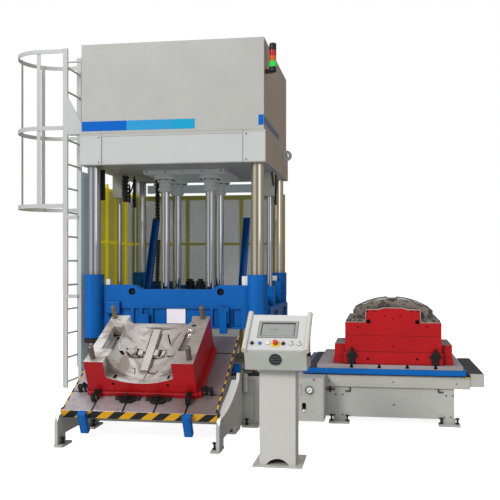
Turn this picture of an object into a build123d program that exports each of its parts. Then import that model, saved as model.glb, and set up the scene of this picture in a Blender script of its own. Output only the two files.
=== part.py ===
from build123d import *
import math
import os

# Four-column hydraulic press with a tilting front bolster, a side mould carriage and a control desk.
# Millimetres. X runs to the side carriage, Y to the back, Z up from the floor.
# The origin is on the floor, midway between the four columns.

# Fits and gaps
running_gap = 0.08  # radial gap of a sliding rod in its bore
seat_gap = 0.3  # gap between fixed pieces that lie close
side_gap = 5.0  # gap between the bolster's sides and the side frames

# Columns and the press frame
base_half_x = 961.0
base_half_y = 957.0
column_x = base_half_x - 103
column_y = base_half_y - 143
column_r = 64.0
socket_depth = 60.0
base_top = 489.0
base_wall = 40.0
base_deck = 80.0
corner_post_r = 112.0
panel_recess = 8.0
foot_plate_t = 20.0
foot_reach = 100.0
foot_width = 160.0
foot_x = base_half_x - 141
anchor_r = 14.0
anchor_offset = 38.0

# Crown
crown_bottom = 2604.0
crown_top = 2924.0
crown_wall = 40.0
crown_floor = 50.0
seam_width = 4.0
seam_depth = 2.0
housing_half_x = base_half_x - 17
housing_front = -(base_half_y - 4)
housing_back = base_half_y - 22
housing_top = 3835.0
housing_wall = 4.0
front_seams = (-(base_half_x - 234), base_half_x - 227)
neck_r = 45.0
neck_start = 60.0
nut_height = 70.0
nut_flat_r = 66.0
hook_reach = 46.0
hook_drop = 77.0
hook_foot = 122.0
hook_ring_r = 58.0
hook_eye_r = 24.0
hook_t = 30.0
hook_y = 465.0
ear_y = -90.0
ear_drop = 48.0
ear_t = 20.0
ear_r = 24.0
ear_eye_r = 11.0
tray_height = 97.0
tray_drop = 34.0
tray_half_x = base_half_x - 161

# Lifting rods and cylinders
rod_x = 251.0
rod_y = 253.0
rod_r = 50.0
barrel_r = 95.0
barrel_bore_r = 70.0
barrel_height = 860.0
piston_height = 60.0
piston_rise = 245.0
gland_flange_r = 122.0
gland_flange_t = 45.0
gland_r = 67.0
gland_length = 135.0
cylinder_plate_half = 445.0
cylinder_plate_t = 44.0
side_rod_x = base_half_x - 93
side_rod_r = 30.0
side_block_half = 60.0
side_block_length = 262.0
tank_width = 350.0
tank_half_y = 560.0
tank_height = 520.0
tank_wall = 6.0
filler_r = 45.0
motor_x = 565.0
motor_r = 125.0
motor_length = 490.0

# Upper platen
platen_bottom = 940.0
platen_half_x = column_x - 58
platen_half_y = column_y + 6
platen_top = 1380.0
platen_dip_top = 1335.0
platen_floor_top = 1300.0
platen_plate_half_x = platen_half_x - 100
platen_plate_half_y = platen_half_y - 45
platen_plate_t = 58.0
platen_slots_x = (-420.0, -140.0, 140.0, 420.0)
beam_t = 120.0
platen_rib_t = 60.0
dip_left = (-(platen_half_x - 375), -(platen_half_x - 447))
dip_right = (platen_half_x - 420, platen_half_x - 335)
sleeve_r = 102.5
sleeve_bottom = 835.0
sleeve_top = 1488.0
wiper_height = 55.0
side_beam_out = base_half_x + 14
side_beam_top = 1140.0
side_beam_front = -(platen_half_y - 120)
lug_top = 1350.0
lug_half = 55.0
pin_hole_r = 36.5
pin_hole_x = (-(platen_half_x - 351), platen_half_x - 320)
pin_hole_z = 1312.0
recess_top = 1140.0
recess_bottom = 962.0
recess_depth = 45.0
recess_out = platen_half_x - 110
recess_edges = (-recess_out, 228 - recess_out, 260 - recess_out, 319 - recess_out, 351 - recess_out,
                432 - recess_out, 464 - recess_out, recess_out - 321, recess_out - 289, recess_out - 116,
                recess_out - 84, recess_out)
name_panel = (490 - recess_out, recess_out - 347)
name_panel_depth = 10.0
clamp_right = (recess_out - 223, recess_out - 116)
clamp_left = (329 - recess_out, 428 - recess_out)
front_lug = (-recess_out - 27, 116 - recess_out)
slot_neck = 18.0
slot_head = 30.0
slot_neck_depth = 18.0
slot_head_depth = 14.0
platen_raise = 440.0
platen_lower = 150.0

# Drag chain brackets on the platen
bracket_x = platen_half_x - 255
bracket_width = 74.0
bracket_depth = 90.0
bracket_lean = 450.0
bracket_top = 2135.0

# Front bolster, measured about its tilt pivot while level
tilt_angle = 27.23
pivot_y = -(base_half_y + 143)
pivot_z = 585.0
bolster_rise = 197.3  # top face above the pivot
bolster_back = 261.3  # back edge behind the pivot
bolster_length = 1235.0
bolster_half_x = platen_plate_half_x
bolster_t = 60.0
bolster_slots_x = (-420.0, -140.0, 140.0, 420.0)
cross_slots = (274.0, 930.0)  # from the front edge
arms_x = (-500.0, 440.0)
arm_width = 75.0
arm_length = 205.0
arm_t = 62.0
trunnion_r = 25.0
trunnion_lug_t = 60.0
roller_r = 24.0
roller_t = 14.0

# Side frames that carry the bolster
frame_t = 30.0
frame_arc_back = pivot_y - 71
frame_arc_front = frame_arc_back - 859
frame_front = frame_arc_front - 90
frame_arc_low = 281.0
frame_arc_r = 1945.0
frame_head_top = 546.0
frame_web_bottom = 92.0
frame_leg_depth = 180.0
frame_rear_leg = pivot_y - 260
frame_flange_in = 45.0
frame_flange_t = 12.0
frame_foot_in = 50.0
block_height = 78.0
block_half_y = 42.0

# Lower mould on the bolster, from the bolster's front edge
mould_left = -510.0
mould_right = 482.0
mould_taper = 28.0  # how far the left side runs in towards the back
mould_front = 224.0
mould_back = 1018.0
mould_base_t = 50.0
mould_foot = 14.0
mould_side_foot = 42.0
mould_height = 360.0
mould_wall = 62.0
sill_edge = 200.0
sill_middle = 140.0
basin_floor_front = 120.0
basin_floor_back = 240.0
back_wall_top = 270.0
left_wall = 100.0
pocket = (434.0, 817.0)  # hollow in the left wall, from the bolster's front edge
pocket_floor = 270.0
right_step = (420.0, 740.0)
right_step_floor = 310.0
strip_x = (-66.0, 6.0)
strip_start = 397.0
strip_rise = 22.0
pin_r = 24.0
pin_rise = 128.0
clamp_width = 38.0
clamp_t = 20.0

# Side table and carriage
table_left = base_half_x + 1
table_right = table_left + 1831
table_front = 640.0  # half depth
cover_right = table_right + 151
cover_half_y = 660.0
cover_bottom = 364.0
cover_top = 483.0
table_bottom = 62.0
table_wall = 12.0
end_right = cover_right + 136
end_bottom = 387.0
end_top = 517.0
table_foot_t = 20.0
rail_y = 570.0
rail_width = 60.0
carriage_left = table_left + 338
carriage_right = carriage_left + 1603
carriage_half_y = 685.0
carriage_bottom = 495.0
carriage_top = 551.0
tslot_left = carriage_left + 146
tslot_right = carriage_right - 27
tslot_top = 590.0
tslot_pocket = 30.0
carriage_slots = tuple(tslot_left + step for step in (345.0, 618.0, 892.0, 1166.0))

# Upper mould on the carriage
upper_x = tslot_left + 752
upper_half_x = 474.0
upper_front = -(carriage_half_y - 47)
upper_back = 250.0
upper_side_half_x = 583.0
upper_side_front = upper_front + 80
upper_side_back = upper_back - 190
upper_side_top = 785.0
upper_flange_top = 711.0
upper_foot_top = tslot_top + 62
upper_seam = 875.0
upper_shoulder = 1012.0
upper_hole_x = 239.0
upper_hole_r = 22.0
upper_centre_half_x = 269.0
upper_centre_top = 1139.0
upper_centre_t = 88.0
shoulder_rise = 32.0
shoulder_chamfer = 10.0
core_half_x = 396.0
core_edge = 1130.0
core_crown = 1241.0

# Control desk
desk_x = 1270.0
pedestal_half_x = 145.0
pedestal_front = -2450.0
pedestal_back = -2222.0
pedestal_wall = 3.0
plinth_half_x = 197.0
plinth_front = -2500.0
plinth_back = -2082.0
plinth_t = 12.0
arch_half = 90.0
arch_height = 48.0
desk_half_x = 242.0
desk_bottom = 775.0
desk_front_low = -2550.0
desk_front = -2600.0
desk_lip = 925.0
panel_front_z = 940.0
panel_back_y = -2270.0
panel_back_z = 1185.0
desk_back = -2225.0
cheek_r = 22.0
screen_half_x = 159.0
screen_low = 135.0  # up the slope of the panel
screen_high = 333.0
control_row = 66.0
control_pitch = 61.5

# Valve cabinet
cabinet_left = table_left + 188
cabinet_right = cabinet_left + 384
cabinet_front = -(table_front + 310)
cabinet_bottom = 62.0
cabinet_top = 483.0
cabinet_wall = 4.0
gauge_x = cabinet_left + 241
gauge_z = 368.0
gauge_r = 37.0
latch_x = cabinet_left + 189
latch_low = 141.0
latch_high = 241.0

# Ladder, cage and guards on the left
ladder_x = -(base_half_x + 189)
stile_front = -(base_half_y - 89)
stile_back = stile_front + 378
stile_width = 50.0
stile_t = 25.0
ladder_top = 3830.0
ladder_bottom = 310.0
back_stile_bottom = 480.0
rung_r = 10.0
rung_first = 367.0
rung_pitch = 252.3
rung_count = 14
hoop_x = ladder_x - 300
hoop_r = 360.0
hoop_levels = (2200.0, 3010.0, 3808.0)
hoop_height = 42.0
hoop_t = 6.0
upright_angles = (-90.0, 0.0, 50.0)
upright_width = 40.0
guard_x = base_half_x + 39
guard_y = base_half_y + 43
guard_post = 40.0
guard_top = 2500.0
guard_rear_top = 2420.0
guard_mid = 1840.0
guard_bottom = 150.0
left_post_first = stile_front + 478
left_post_pitch = (base_half_y + 3 - left_post_first) / 4
left_posts = tuple(left_post_first + i * left_post_pitch for i in range(5))
rear_posts = (-(base_half_x - 21), -310.0, 374.0, base_half_x - 61)
panel_t = 4.0


def box(x0, x1, y0, y1, z0, z1):
    return Pos((x0 + x1) / 2, (y0 + y1) / 2, (z0 + z1) / 2) * Box(x1 - x0, y1 - y0, z1 - z0)


def bar_x(radius, x0, x1, y, z):
    return Pos((x0 + x1) / 2, y, z) * Rot(0, 90, 0) * Cylinder(radius, abs(x1 - x0))


def bar_y(radius, x, y0, y1, z):
    return Pos(x, (y0 + y1) / 2, z) * Rot(90, 0, 0) * Cylinder(radius, abs(y1 - y0))


def bar_z(radius, x, y, z0, z1):
    return Pos(x, y, (z0 + z1) / 2) * Cylinder(radius, z1 - z0)


def push_x(face, x0, x1):
    """Pushes a face drawn as (y, z) from one X to another."""
    return extrude(Plane.YZ.offset(x0) * face, amount=x1 - x0, dir=(1, 0, 0))


def push_y(face, y0, y1):
    """Pushes a face drawn as (x, z) from one Y to another."""
    return extrude(Plane.XZ.offset(-y0) * face, amount=y1 - y0, dir=(0, 1, 0))


def across(points, x0, x1):
    """A closed outline of (y, z) points, pushed along X."""
    return push_x(Polygon(*points, align=None), x0, x1)


def lengthwise(points, y0, y1):
    """A closed outline of (x, z) points, pushed along Y."""
    return push_y(Polygon(*points, align=None), y0, y1)


def corners(x, y):
    return [(x, y), (-x, y), (x, -y), (-x, -y)]


def slot_along_y(x, y0, y1, top):
    """The space of a T-slot that opens upward."""
    neck = box(x - slot_neck / 2, x + slot_neck / 2, y0, y1, top - slot_neck_depth, top)
    head_top = top - slot_neck_depth
    return neck + box(x - slot_head / 2, x + slot_head / 2, y0, y1, head_top - slot_head_depth, head_top)


def slot_along_x(y, x0, x1, top):
    neck = box(x0, x1, y - slot_neck / 2, y + slot_neck / 2, top - slot_neck_depth, top)
    head_top = top - slot_neck_depth
    return neck + box(x0, x1, y - slot_head / 2, y + slot_head / 2, head_top - slot_head_depth, head_top)


def cells(xs, ys, zs, wall, across_x, across_y):
    """The hollow cells of a ribbed body, as many each way as asked, with walls and ribs of one thickness."""
    pitch_x = (xs[1] - xs[0] - wall) / across_x
    pitch_y = (ys[1] - ys[0] - wall) / across_y
    spaces = []
    for i in range(across_x):
        for j in range(across_y):
            x = xs[0] + wall + i * pitch_x
            y = ys[0] + wall + j * pitch_y
            spaces.append(box(x, x + pitch_x - wall, y, y + pitch_y - wall, *zs))
    return spaces


# Press frame

def make_base():
    body = box(-base_half_x, base_half_x, -base_half_y, base_half_y, 0, base_top)
    deck_under = base_top - base_deck
    body -= cells((-base_half_x, base_half_x), (-base_half_y, base_half_y), (0, deck_under), base_wall, 4, 4)
    for x, y in corners(column_x - base_wall / 2, column_y - base_wall / 2):
        body += bar_z(corner_post_r, x, y, 0, deck_under)
    body = body & box(-base_half_x, base_half_x, -base_half_y, base_half_y, 0, base_top)
    for x, y in corners(column_x, column_y):
        body -= bar_z(column_r + seat_gap, x, y, base_top - socket_depth, base_top)
    # the four sides carry sunk panels, with a seam two thirds of the way up
    seam_z = base_top * 0.66
    panel_x = base_half_x - 110
    panel_y = base_half_y - 110
    for low, high in ((40, seam_z - 5), (seam_z + 5, base_top - 40)):
        for side in (-1, 1):
            y0, y1 = sorted((side * base_half_y, side * (base_half_y - panel_recess)))
            body -= box(-panel_x, panel_x, y0, y1, low, high)
        x0, x1 = -base_half_x, -base_half_x + panel_recess
        body -= box(x0, x1, -panel_y, panel_y, low, high)
    pieces = [body]
    for x, y in corners(foot_x, base_half_y + foot_reach / 2):
        foot = box(x - foot_width / 2, x + foot_width / 2, y - foot_reach / 2, y + foot_reach / 2, 0, foot_plate_t)
        side = 1 if x > 0 else -1
        foot -= bar_z(anchor_r, x + side * anchor_offset, y, 0, foot_plate_t)
        foot -= bar_z(bolt_r + seat_gap, x - side * anchor_offset, y, 0, foot_plate_t)
        pieces.append(foot)
    return Compound(children=pieces)


def make_rails():
    rails = []
    for side in (-1, 1):
        y = side * rail_y
        rails.append(box(-900, cover_right - 60, y - rail_width / 2, y + rail_width / 2, base_top,
                         carriage_bottom - seat_gap))
    return Compound(children=rails)


def make_columns():
    pieces = []
    for x, y in corners(column_x, column_y):
        top = crown_top + nut_height + 12
        column = bar_z(column_r, x, y, base_top - socket_depth, crown_bottom + neck_start)
        column += bar_z(neck_r, x, y, crown_bottom + neck_start, top)
        pieces.append(chamfer(column.edges().group_by(Axis.Z)[-1], 6))
        nut = extrude(Pos(x, y, crown_top) * RegularPolygon(nut_flat_r, 6, major_radius=False), nut_height)
        nut -= bar_z(neck_r + seat_gap, x, y, crown_top, crown_top + nut_height)
        pieces.append(nut)
    return Compound(children=pieces)


def make_crown():
    body = box(-base_half_x, base_half_x, -base_half_y, base_half_y, crown_bottom, crown_top)
    floor = crown_bottom + crown_floor
    body -= cells((-base_half_x, base_half_x), (-base_half_y, base_half_y), (floor, crown_top), crown_wall, 4, 4)
    for x, y in corners(column_x - crown_wall / 2, column_y - crown_wall / 2):
        body += bar_z(corner_post_r, x, y, floor, crown_top)
    body = body & box(-base_half_x, base_half_x, -base_half_y, base_half_y, crown_bottom, crown_top)
    for x, y in corners(rod_x, rod_y):
        body += bar_z(barrel_r + 30, x, y, floor, crown_top)
    for side in (-1, 1):
        body += bar_z(side_rod_r + 30, side * side_rod_x, 0, floor, crown_top)
    for x, y in corners(column_x, column_y):
        body -= bar_z(column_r + seat_gap, x, y, crown_bottom, crown_bottom + neck_start)
        body -= bar_z(neck_r + seat_gap, x, y, crown_bottom, crown_top)
    for x, y in corners(rod_x, rod_y):
        body -= bar_z(barrel_r + seat_gap, x, y, crown_bottom, crown_top)
    for side in (-1, 1):
        body -= bar_z(side_rod_r + 4, side * side_rod_x, 0, crown_bottom, crown_top)
    for x in front_seams:
        body -= box(x - seam_width / 2, x + seam_width / 2, -base_half_y, -base_half_y + seam_depth,
                    crown_bottom, crown_top)
    return body


def make_housing():
    outer = box(-housing_half_x, housing_half_x, housing_front, housing_back, crown_top, housing_top)
    outer = fillet(outer.edges().filter_by(Axis.Z), 8)
    inner_x = housing_half_x - housing_wall
    body = outer - box(-inner_x, inner_x, housing_front + housing_wall, housing_back - housing_wall,
                       crown_top, housing_top - housing_wall)
    for x in front_seams:
        body -= box(x - seam_width / 2, x + seam_width / 2, housing_front, housing_front + seam_depth,
                    crown_top, housing_top - 40)
        body -= box(x - seam_width / 2, x + seam_width / 2, housing_back - seam_depth, housing_back,
                    crown_top, housing_top - 40)
    # lip that closes the gap down to the crown beam
    for side in (-1, 1):
        x0, x1 = sorted((side * housing_half_x, side * (housing_half_x - 22)))
        body += box(x0, x1, -column_y + 90, column_y - 90, crown_top, crown_top + housing_wall)
    return body


def make_cylinder_plate():
    half = cylinder_plate_half
    plate = box(-half, half, -half, half, crown_bottom - cylinder_plate_t, crown_bottom)
    plate = chamfer(plate.edges().group_by(Axis.Z)[0], 6)
    for x, y in corners(rod_x, rod_y):
        plate -= bar_z(rod_r + 6, x, y, crown_bottom - cylinder_plate_t, crown_bottom)
    return plate


def make_glands():
    top = crown_bottom - cylinder_plate_t
    under = top - gland_flange_t
    glands = []
    for x, y in corners(rod_x, rod_y):
        gland = bar_z(gland_flange_r, x, y, under, top) + bar_z(gland_r, x, y, under - gland_length, under)
        gland -= bar_z(rod_r + running_gap, x, y, under - gland_length, top)
        bottom_ring = gland.edges().filter_by(GeomType.CIRCLE).group_by(Axis.Z)[0]
        gland = chamfer(bottom_ring.sort_by(SortBy.RADIUS)[-1], 8)
        glands.append(gland)
    return Compound(children=glands)


def make_lift_cylinders():
    barrels = []
    for x, y in corners(rod_x, rod_y):
        top = crown_bottom + barrel_height
        barrel = bar_z(barrel_r, x, y, crown_bottom, top)
        barrel -= bar_z(rod_r + 6, x, y, crown_bottom, crown_bottom + 40)
        barrel -= bar_z(barrel_bore_r, x, y, crown_bottom + 40, top - 30)
        barrels.append(chamfer(barrel.edges().group_by(Axis.Z)[-1], 5))
    return Compound(children=barrels)


def make_hydraulic_unit():
    x0 = -(housing_half_x - 204)
    x1 = x0 + tank_width
    y = tank_half_y
    w = tank_wall
    top = crown_top + tank_height
    tank = fillet(box(x0, x1, -y, y, crown_top, top).edges().filter_by(Axis.Z), tank_wall * 5)
    filler_x = (x0 + x1) / 2
    tank += bar_z(filler_r, filler_x, -y * 0.75, top, top + filler_r)
    tank -= box(x0 + w, x1 - w, -y + w, y - w, crown_top + w, top - w)
    tank -= bar_z(filler_r - w, filler_x, -y * 0.75, top - w * 2, top + filler_r)
    axis_z = crown_top + motor_r * 1.3
    motor = bar_y(motor_r, motor_x, -motor_length / 2, motor_length / 2, axis_z)
    motor += box(motor_x - motor_r * 0.8, motor_x + motor_r * 0.8, -motor_length * 0.4, motor_length * 0.4,
                 crown_top, crown_top + motor_r * 0.6)
    motor += bar_y(motor_r * 1.2, motor_x, motor_length / 2, motor_length * 0.58, axis_z)
    motor += box(motor_x - motor_r / 2, motor_x + motor_r / 2, -motor_length * 0.65, -motor_length / 2,
                 axis_z - motor_r / 2, axis_z + motor_r / 2)
    return Compound(children=[tank, motor])


def make_side_cylinders():
    blocks = []
    for side in (-1, 1):
        x = side * side_rod_x
        block = box(x - side_block_half, x + side_block_half, -side_block_half, side_block_half,
                    crown_bottom - side_block_length, crown_bottom)
        block = fillet(block.edges().filter_by(Axis.Z), 14)
        block -= bar_z(side_rod_r + running_gap, x, 0, crown_bottom - side_block_length, crown_bottom)
        blocks.append(block)
    return Compound(children=blocks)


def make_hooks():
    hooks = []
    for side in (-1, 1):
        x = side * base_half_x
        eye_x = x + side * hook_reach
        eye_z = crown_top - hook_drop
        tip_x = x + side * hook_reach * 0.6
        outline = [(x, eye_z - hook_foot), (tip_x, eye_z - hook_foot), (eye_x, eye_z - hook_ring_r / 2),
                   (eye_x, eye_z + hook_ring_r), (x, eye_z + hook_ring_r)]
        plate = lengthwise(outline, hook_y - hook_t, hook_y)
        plate += bar_y(hook_ring_r, eye_x, hook_y - hook_t, hook_y, eye_z)
        plate -= bar_y(hook_eye_r, eye_x, hook_y - hook_t, hook_y, eye_z)
        behind = sorted((x, x - side * hook_ring_r))
        plate -= box(*behind, hook_y - hook_t, hook_y, eye_z - hook_ring_r, eye_z + hook_ring_r)
        hooks.append(plate)
    ear_z = crown_top - ear_drop
    ear = box(base_half_x, base_half_x + ear_r, ear_y, ear_y + ear_t, ear_z - ear_r * 2, ear_z + ear_r)
    ear += bar_y(ear_r, base_half_x + ear_r, ear_y, ear_y + ear_t, ear_z)
    hooks.append(ear - bar_y(ear_eye_r, base_half_x + ear_r, ear_y, ear_y + ear_t, ear_z))
    return Compound(children=hooks)


lamp_x = base_half_x + 59
lamp_y = -(base_half_y - 90)
lamp_r = 35.0
lamp_levels = (3507.0, 3554.0, 3615.0, 3665.0, 3721.0, 3792.0)


def make_lamp_body():
    low, lens_low = lamp_levels[0], lamp_levels[1]
    foot = bar_z(lamp_r, lamp_x, lamp_y, low, lens_low)
    foot += box(housing_half_x, lamp_x, lamp_y - 12, lamp_y + 12, low - 14, low + 24)
    cap = bar_z(lamp_r, lamp_x, lamp_y, lamp_levels[4], lamp_levels[5])
    cap = fillet(cap.edges().group_by(Axis.Z)[-1], 14)
    return Compound(children=[foot, cap])


def make_lamp_lenses():
    lenses = []
    for low, high in zip(lamp_levels[1:4], lamp_levels[2:5]):
        lens = bar_z(lamp_r, lamp_x, lamp_y, low, high)
        groove = bar_z(lamp_r, lamp_x, lamp_y, high - 5, high) - bar_z(lamp_r - 3, lamp_x, lamp_y, high - 5, high)
        lenses.append(lens - groove)
    return Compound(children=lenses)


# Ladder, cage and guards

def make_ladder_stiles():
    half_w = stile_width / 2
    half_t = stile_t / 2
    stiles = []
    for y, low in ((stile_front, ladder_bottom), (stile_back, back_stile_bottom)):
        stiles.append(box(ladder_x - half_w, ladder_x + half_w, y - half_t, y + half_t, low, ladder_top))
    return Compound(children=stiles)


def make_ladder_rungs():
    rungs = []
    for i in range(rung_count):
        z = rung_first + i * rung_pitch
        back = stile_back - stile_t / 2 if z > back_stile_bottom else stile_back
        rungs.append(bar_y(rung_r, ladder_x, stile_front + stile_t / 2, back, z))
    return Compound(children=rungs)


def hoop(level):
    """One flat hoop from the front stile round to the press's side."""
    z0 = level - hoop_height / 2
    z1 = level + hoop_height / 2
    centre_y = stile_front + hoop_r
    ring = bar_z(hoop_r, hoop_x, centre_y, z0, z1) - bar_z(hoop_r - hoop_t, hoop_x, centre_y, z0, z1)
    ring = ring & box(hoop_x - hoop_r, hoop_x, centre_y - hoop_r, centre_y + hoop_r, z0, z1)
    front_y = centre_y - hoop_r
    back_y = centre_y + hoop_r
    stile_face = ladder_x - stile_width / 2
    ring += box(hoop_x, stile_face, front_y, front_y + hoop_t, z0, z1)
    if level > crown_bottom:
        press_side = -base_half_x if level < crown_top else -housing_half_x
        return ring + box(hoop_x, press_side, back_y - hoop_t, back_y, z0, z1)
    # the lowest hoop ends in a tab on the guard's post
    post_face = -guard_x - guard_post / 2
    ring += box(hoop_x, post_face, back_y - hoop_t, back_y, z0, z1)
    return ring + box(post_face - hoop_t, post_face, back_y - hoop_t, left_posts[1] + 15, z0, z1)


def make_cage_hoops():
    return Compound(children=[hoop(level) for level in hoop_levels])


def make_cage_bars():
    low = hoop_levels[0] - hoop_height / 2
    high = hoop_levels[-1] + hoop_height / 2
    half = upright_width / 2
    inner = math.sqrt((hoop_r - hoop_t) ** 2 - half ** 2)
    bar = box(-inner, -inner + hoop_t, -half, half, low, high)
    centre = Pos(hoop_x, stile_front + hoop_r, 0)
    return Compound(children=[centre * Rot(0, 0, -angle) * bar for angle in upright_angles])


duct_x = -(base_half_x + 39)
duct_front = stile_front + 6
duct_back_y = duct_front + 239
duct_t = 34.0
duct_bottom = 300.0
gusset_height = 401.0
gusset_t = 8.0
gusset_foot = 70.0
tie_height = 40.0
duct_back = duct_x - duct_t / 2


def make_duct():
    """The upright cable duct at the left and the cable tray under the crown's back, each with its ties."""
    x0 = duct_x - duct_t / 2
    x1 = duct_x + duct_t / 2
    duct = box(x0, x1, duct_front, duct_back_y, duct_bottom, crown_bottom - 50)
    duct -= box(x0 + 4, x1 - 4, duct_front + 4, duct_back_y - 4, duct_bottom, crown_bottom - 50)
    tie_y = (duct_back_y - 60, duct_back_y - 20)
    low_tie = box(x1, -base_half_x, *tie_y, duct_bottom, base_top - 40)
    high_tie = box(x1, -base_half_x + 60, *tie_y, crown_bottom - 90, crown_bottom)
    tray_top = crown_bottom - tray_drop
    tray_low = tray_top - tray_height
    back = base_half_y
    tray = box(-tray_half_x, tray_half_x, back - 60, back, tray_low, tray_top)
    tray -= box(-tray_half_x + 3, tray_half_x - 3, back - 57, back - 3, tray_low + 3, tray_top)
    hangers = [box(x - 20, x + 20, back - 66, back - 60, tray_low, crown_bottom) for x in (-700, 0, 700)]
    return Compound(children=[duct, low_tie, high_tie, tray] + hangers)


def make_ladder_brackets():
    pieces = []
    stile_face = ladder_x + stile_width / 2
    y0 = stile_front - stile_t / 2
    low = crown_top + 11
    outline = [(stile_face, low), (stile_face, low + gusset_height),
               (-housing_half_x - 6, low + gusset_height / 5), (-housing_half_x, low)]
    gusset = lengthwise(outline, y0, y0 + gusset_t)
    gusset += box(stile_face, -housing_half_x, y0, y0 + gusset_foot, low, low + gusset_t)
    pieces.append(gusset)
    for y in (stile_front, stile_back):
        for z in (crown_top + 176, housing_top - 145):
            if y == stile_front and z < low + gusset_height:
                continue
            pieces.append(box(stile_face, -housing_half_x, y - stile_t / 2, y + stile_t / 2, z - 6, z + 6))
    ys = (stile_front - stile_t / 2, stile_front + stile_t / 2)
    for z in (duct_bottom + 940, duct_bottom + 1760):
        pieces.append(box(stile_face, duct_back, *ys, z, z + tie_height))
    return Compound(children=pieces)


def left_guard():
    """Posts and rails of the left guard, along Y, with ties to the press."""
    x0 = -guard_x - guard_post / 2
    x1 = -guard_x + guard_post / 2
    bars = []
    for y in left_posts:
        post = box(x0, x1, y - guard_post / 2, y + guard_post / 2, 0, guard_top)
        bars.append(fillet(post.edges().filter_by(Axis.X).group_by(Axis.Z)[-1], 12))
        bars.append(box(x1, -base_half_x - seat_gap, y - 10, y + 10, 250, 290))
    for z in (guard_bottom, guard_mid, guard_top - 60):
        for a, b in zip(left_posts, left_posts[1:]):
            bars.append(box(x0 + 8, x1 - 8, a + guard_post / 2, b - guard_post / 2, z - 15, z + 15))
    return bars


def rear_guard():
    """Posts and rails of the rear guard, along X, with ties to the press."""
    y0 = guard_y - guard_post / 2 + 4
    y1 = guard_y + guard_post / 2
    bars = []
    for x in rear_posts:
        over_foot = abs(abs(x) - foot_x) < (foot_width + guard_post) / 2
        low = foot_plate_t if over_foot else 0
        bars.append(box(x - guard_post / 2, x + guard_post / 2, y0, y1, low, guard_rear_top))
        bars.append(box(x - 10, x + 10, base_half_y + seat_gap, y0, 250, 290))
    for z in (guard_bottom, guard_mid, guard_rear_top - 15):
        for a, b in zip(rear_posts, rear_posts[1:]):
            bars.append(box(a + guard_post / 2, b - guard_post / 2, y0 + 8, y1 - 8, z - 15, z + 15))
    return bars


def make_guard_frames():
    return Compound(children=left_guard() + rear_guard())


def make_guard_panels():
    panels = []
    half = guard_post / 2
    levels = ((guard_bottom + 15, guard_mid - 15), (guard_mid + 15, guard_top - 75))
    for a, b in zip(left_posts, left_posts[1:]):
        for low, high in levels:
            panels.append(box(-guard_x - panel_t / 2, -guard_x + panel_t / 2, a + half, b - half, low, high))
    rear_levels = ((guard_bottom + 15, guard_mid - 15), (guard_mid + 15, guard_rear_top - 30))
    y = guard_y + 2
    for a, b in zip(rear_posts, rear_posts[1:]):
        for low, high in rear_levels:
            panels.append(box(a + half, b - half, y - panel_t / 2, y + panel_t / 2, low, high))
    return Compound(children=panels)


# Upper platen

def make_platen():
    x, y = platen_half_x, platen_half_y
    body = box(-x, x, -y, y, platen_bottom, platen_floor_top)
    outline = [(-x, platen_floor_top), (-x, platen_top), (dip_left[0], platen_top),
               (dip_left[1], platen_dip_top), (dip_right[0], platen_dip_top), (dip_right[1], platen_top),
               (x, platen_top), (x, platen_floor_top)]
    body += lengthwise(outline, -y, -y + beam_t)
    body += lengthwise(outline, y - beam_t, y)
    # cells between the ribs, open on top
    cell_floor = platen_bottom + 110
    cell_out_x, cell_in_x = x - platen_rib_t, x / 2
    cell_out_y, cell_in_y = y - 180, 90
    for x0, x1 in ((-cell_out_x, -cell_in_x), (cell_in_x, cell_out_x)):
        for y0, y1 in ((-cell_out_y, -cell_in_y), (cell_in_y, cell_out_y)):
            body -= box(x0, x1, y0, y1, cell_floor, platen_floor_top)
    for side in (-1, 1):
        xs = sorted((side * x, side * side_beam_out))
        outline = [(side_beam_front, platen_bottom), (y, platen_bottom), (y, side_beam_top - 30),
                   (y - 30, side_beam_top), (side_beam_front, side_beam_top)]
        body += across(outline, *xs)
        x_lug = side * side_rod_x
        body += box(x_lug - lug_half, x_lug + lug_half, -lug_half, lug_half, side_beam_top, lug_top)
        xs = sorted((side * side_beam_out, side * (side_beam_out - 20)))
        body -= box(*xs, side_beam_front + 60, -120, platen_bottom + 40, side_beam_top - 40)
        body -= box(*xs, 120, y - 180, platen_bottom + 40, side_beam_top - 40)
    for cx, cy in corners(column_x, column_y):
        body += bar_z(sleeve_r, cx, cy, sleeve_bottom, sleeve_top)
    for cx, cy in corners(column_x, column_y):
        body -= bar_z(column_r + running_gap, cx, cy, sleeve_bottom, sleeve_top)
    for cx in pin_hole_x:
        body -= bar_y(pin_hole_r, cx, -y, -y + beam_t, pin_hole_z)
    for x0, x1 in zip(recess_edges[::2], recess_edges[1::2]):
        body -= box(x0, x1, -y, -y + recess_depth, recess_bottom, recess_top)
    body -= box(-x + 60, x - 60, -y, -y + seam_depth, recess_top + 18, recess_top + 22)
    body -= box(*name_panel, -y, -y + name_panel_depth, recess_bottom, recess_top)
    half_x = platen_plate_half_x + seat_gap
    half_y = platen_plate_half_y + seat_gap
    return body - box(-half_x, half_x, -half_y, half_y, platen_bottom, platen_bottom + platen_plate_t + seat_gap)


def make_platen_plate():
    """The slotted plate let into the platen's underside, which holds the upper mould."""
    half_x, half_y = platen_plate_half_x, platen_plate_half_y
    plate = box(-half_x, half_x, -half_y, half_y, platen_bottom, platen_bottom + platen_plate_t)
    underside = Pos(0, 0, 2 * platen_bottom) * Rot(180, 0, 0)
    for x in platen_slots_x:
        plate -= underside * slot_along_y(x, -half_y, half_y, platen_bottom)
    return plate


def make_wipers():
    rings = []
    for x, y in corners(column_x, column_y):
        low = sleeve_bottom - wiper_height
        ring = bar_z(sleeve_r - 2, x, y, low, sleeve_bottom)
        ring = chamfer(ring.edges().group_by(Axis.Z)[0], 6)
        rings.append(ring - bar_z(column_r + running_gap, x, y, low, sleeve_bottom))
    return Compound(children=rings)


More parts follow.
